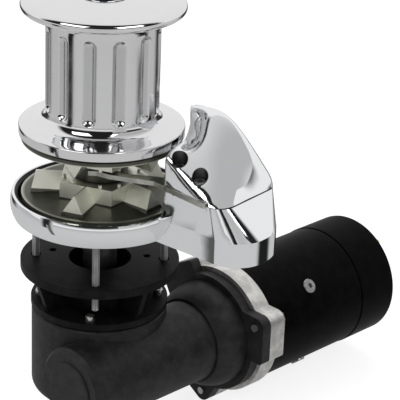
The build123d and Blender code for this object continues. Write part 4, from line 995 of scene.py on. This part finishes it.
def stage_plane(name, material, size, place, turn=(0, 0, 0)):
    """A flat piece of the studio."""
    mesh = bpy.data.meshes.new(name)
    w = size[0] / 2
    h = size[1] / 2
    mesh.from_pydata([(-w, -h, 0), (w, -h, 0), (w, h, 0), (-w, h, 0)], [], [(0, 1, 2, 3)])
    mesh.materials.append(material)
    plane = bpy.data.objects.new(name, mesh)
    plane.location = place
    plane.rotation_euler = turn
    bpy.context.scene.collection.objects.link(plane)
    return plane


def floor_material():
    """Matt floor with a glow of its own, one for the camera and one for mirrors."""
    paint = Paint("floor", roughness=0.9, color=(FLOOR_COLOR,) * 3)
    paint.set("Specular IOR Level", 0.0)
    path = paint.node("ShaderNodeLightPath").outputs
    seen = Value(paint, path["Is Camera Ray"])
    mirror = Value(paint, path["Is Glossy Ray"]).math("MAXIMUM", path["Is Transmission Ray"])
    strength = seen * FLOOR_GLOW + mirror * FLOOR_IN_MIRRORS
    glow = paint.node("ShaderNodeEmission", None, {"Color": (1, 1, 1, 1), "Strength": strength})
    both = paint.node("ShaderNodeAddShader", None, {0: paint.shader.outputs[0], 1: glow.outputs[0]})
    output = paint.tree.nodes["Material Output"]
    paint.tree.links.new(both.outputs[0], output.inputs["Surface"])
    return paint.material


stage_plane("floor", floor_material(), (FLOOR_SIZE, FLOOR_SIZE), (0, 0, lowest - FLOOR_DROP))
print("floor at", round(lowest, 4))

# %% [markdown]
# ## World
# The camera sees pure white past the object, and matt paint is lit by an even grey. Mirrors see
# white too, but in front and above the horizon they see a dark room, which draws the dark bands
# on the chrome.

# %% World
FLOOR_MIRRORED = 0.55
MIRROR_WHITE = 0.92
MIRROR_BLACK = 0.015
ROOM_SIDES = (-0.10, 0.18)
ROOM_HORIZON = (0.02, 0.14)


def toward(turn):
    """Level direction at an angle to the right of the camera, seen from the object."""
    angle = CAMERA_TURN - math.pi / 2 + math.radians(turn)
    return Vector((math.cos(angle), math.sin(angle), 0.0))


world = bpy.data.worlds.new("studio")
bpy.context.scene.world = world
world.use_nodes = True
studio = Nodes(world.node_tree)
look = studio.node("ShaderNodeTexCoord").outputs["Generated"]


def along(direction):
    """How far the looked-at direction points along another one."""
    settings = {"operation": "DOT_PRODUCT"}
    return studio.value("ShaderNodeVectorMath", "Value", settings, {0: look, 1: direction})


front = along(toward(0))
height = along(Vector((0, 0, 1)))
path = studio.node("ShaderNodeLightPath").outputs
mirror = Value(studio, path["Is Glossy Ray"]).math("MAXIMUM", path["Is Transmission Ray"])
seen = Value(studio, path["Is Camera Ray"])
dark_room = front.step(*ROOM_SIDES) * height.step(*ROOM_HORIZON)
mirror_level = dark_room * (MIRROR_BLACK - MIRROR_WHITE) + MIRROR_WHITE
level = seen + mirror * mirror_level + (1 - seen) * (1 - mirror) * STUDIO_GREY
background = world.node_tree.nodes["Background"].inputs
studio.feed(background["Strength"], level)
studio.feed(background["Color"], (1, 1, 1, 1))
print("world nodes:", len(world.node_tree.nodes))

# %% [markdown]
# ## Soft boxes and cards
# The cards hang where only mirrors see them. Each draws one dark or grey shape on the chrome: the
# upright bars at the ends of the ring, the line on the hood, and the tones of its roof and facet.
# The lamps give the paint its soft highlights and the floor its shadow.


# %% Lamps and cards
def aim(place, target):
    """Rotation that points an object's -z from a place at a target."""
    return (Vector(target) - Vector(place)).to_track_quat("-Z", "Y").to_euler()


def soft_box(name, place, size, power, in_mirrors=True):
    """Area lamp that looks at the middle of the object."""
    data = bpy.data.lights.new(name, "AREA")
    data.shape = "RECTANGLE"
    data.size = size[0]
    data.size_y = size[1]
    data.energy = power
    lamp = bpy.data.objects.new(name, data)
    lamp.location = place
    lamp.rotation_euler = aim(place, (0, 0, 0))
    lamp.visible_glossy = in_mirrors
    bpy.context.scene.collection.objects.link(lamp)


def card(name, place, size, shade, rim, target=None):
    """Flat card that only mirrors see. Its shade fades into that of the rim."""
    paint = Paint(name, roughness=1.0, color=(0, 0, 0))
    paint.set("Specular IOR Level", 0.0)
    x, _, _ = paint.spot()
    fade = (x.math("ABSOLUTE") * (2 / size[0])).step(0.35, 1.0)
    paint.set("Emission Color", paint.blend(fade, (shade,) * 3, (rim,) * 3))
    paint.set("Emission Strength", 1.0)
    plane = stage_plane(name, paint.material, size, place, aim(place, target or (0, 0, place[2])))
    plane.visible_camera = False
    plane.visible_diffuse = False
    plane.visible_shadow = False
    plane.visible_transmission = False


def around(turn, distance, height):
    """Place at a distance, in a direction counted from the camera's side."""
    return distance * toward(turn) + Vector((0, 0, height))


LAMP_POWER = 7
soft_box("left box", around(-40, 1.5, 1.15), (1.05, 0.75), LAMP_POWER)
soft_box("right box", around(42, 1.5, 1.15), (1.05, 0.75), LAMP_POWER)
soft_box("top box", around(170, 0.9, 1.6), (1.2, 0.9), LAMP_POWER, False)
card("left card", around(-62, 0.78, lowest + 0.17), (0.24, 0.34), MIRROR_BLACK, FLOOR_MIRRORED)
card("right card", around(86, 0.48, lowest + 0.135), (0.30, 0.27), MIRROR_BLACK, FLOOR_MIRRORED)
card("hood line card", (-0.072, -0.404, lowest + 0.10), (0.05, 0.20), 0.10, FLOOR_MIRRORED)
card("back left card", around(-140, 0.9, lowest + 0.16), (0.9, 0.32), 0.04, FLOOR_MIRRORED)
card("back right card", around(145, 0.9, lowest + 0.16), (0.8, 0.32), 0.04, FLOOR_MIRRORED)
card("roof card", (0.225, 0.075, 0.205), (0.26, 0.27), 0.50, 0.70, (0.225, 0.075, 0))
card("facet card", (0.46, -0.07, 0.13), (0.22, 0.16), 0.52, 0.60, (0.17, 0.01, 0.04))
print("lamps:", len(bpy.data.lights))
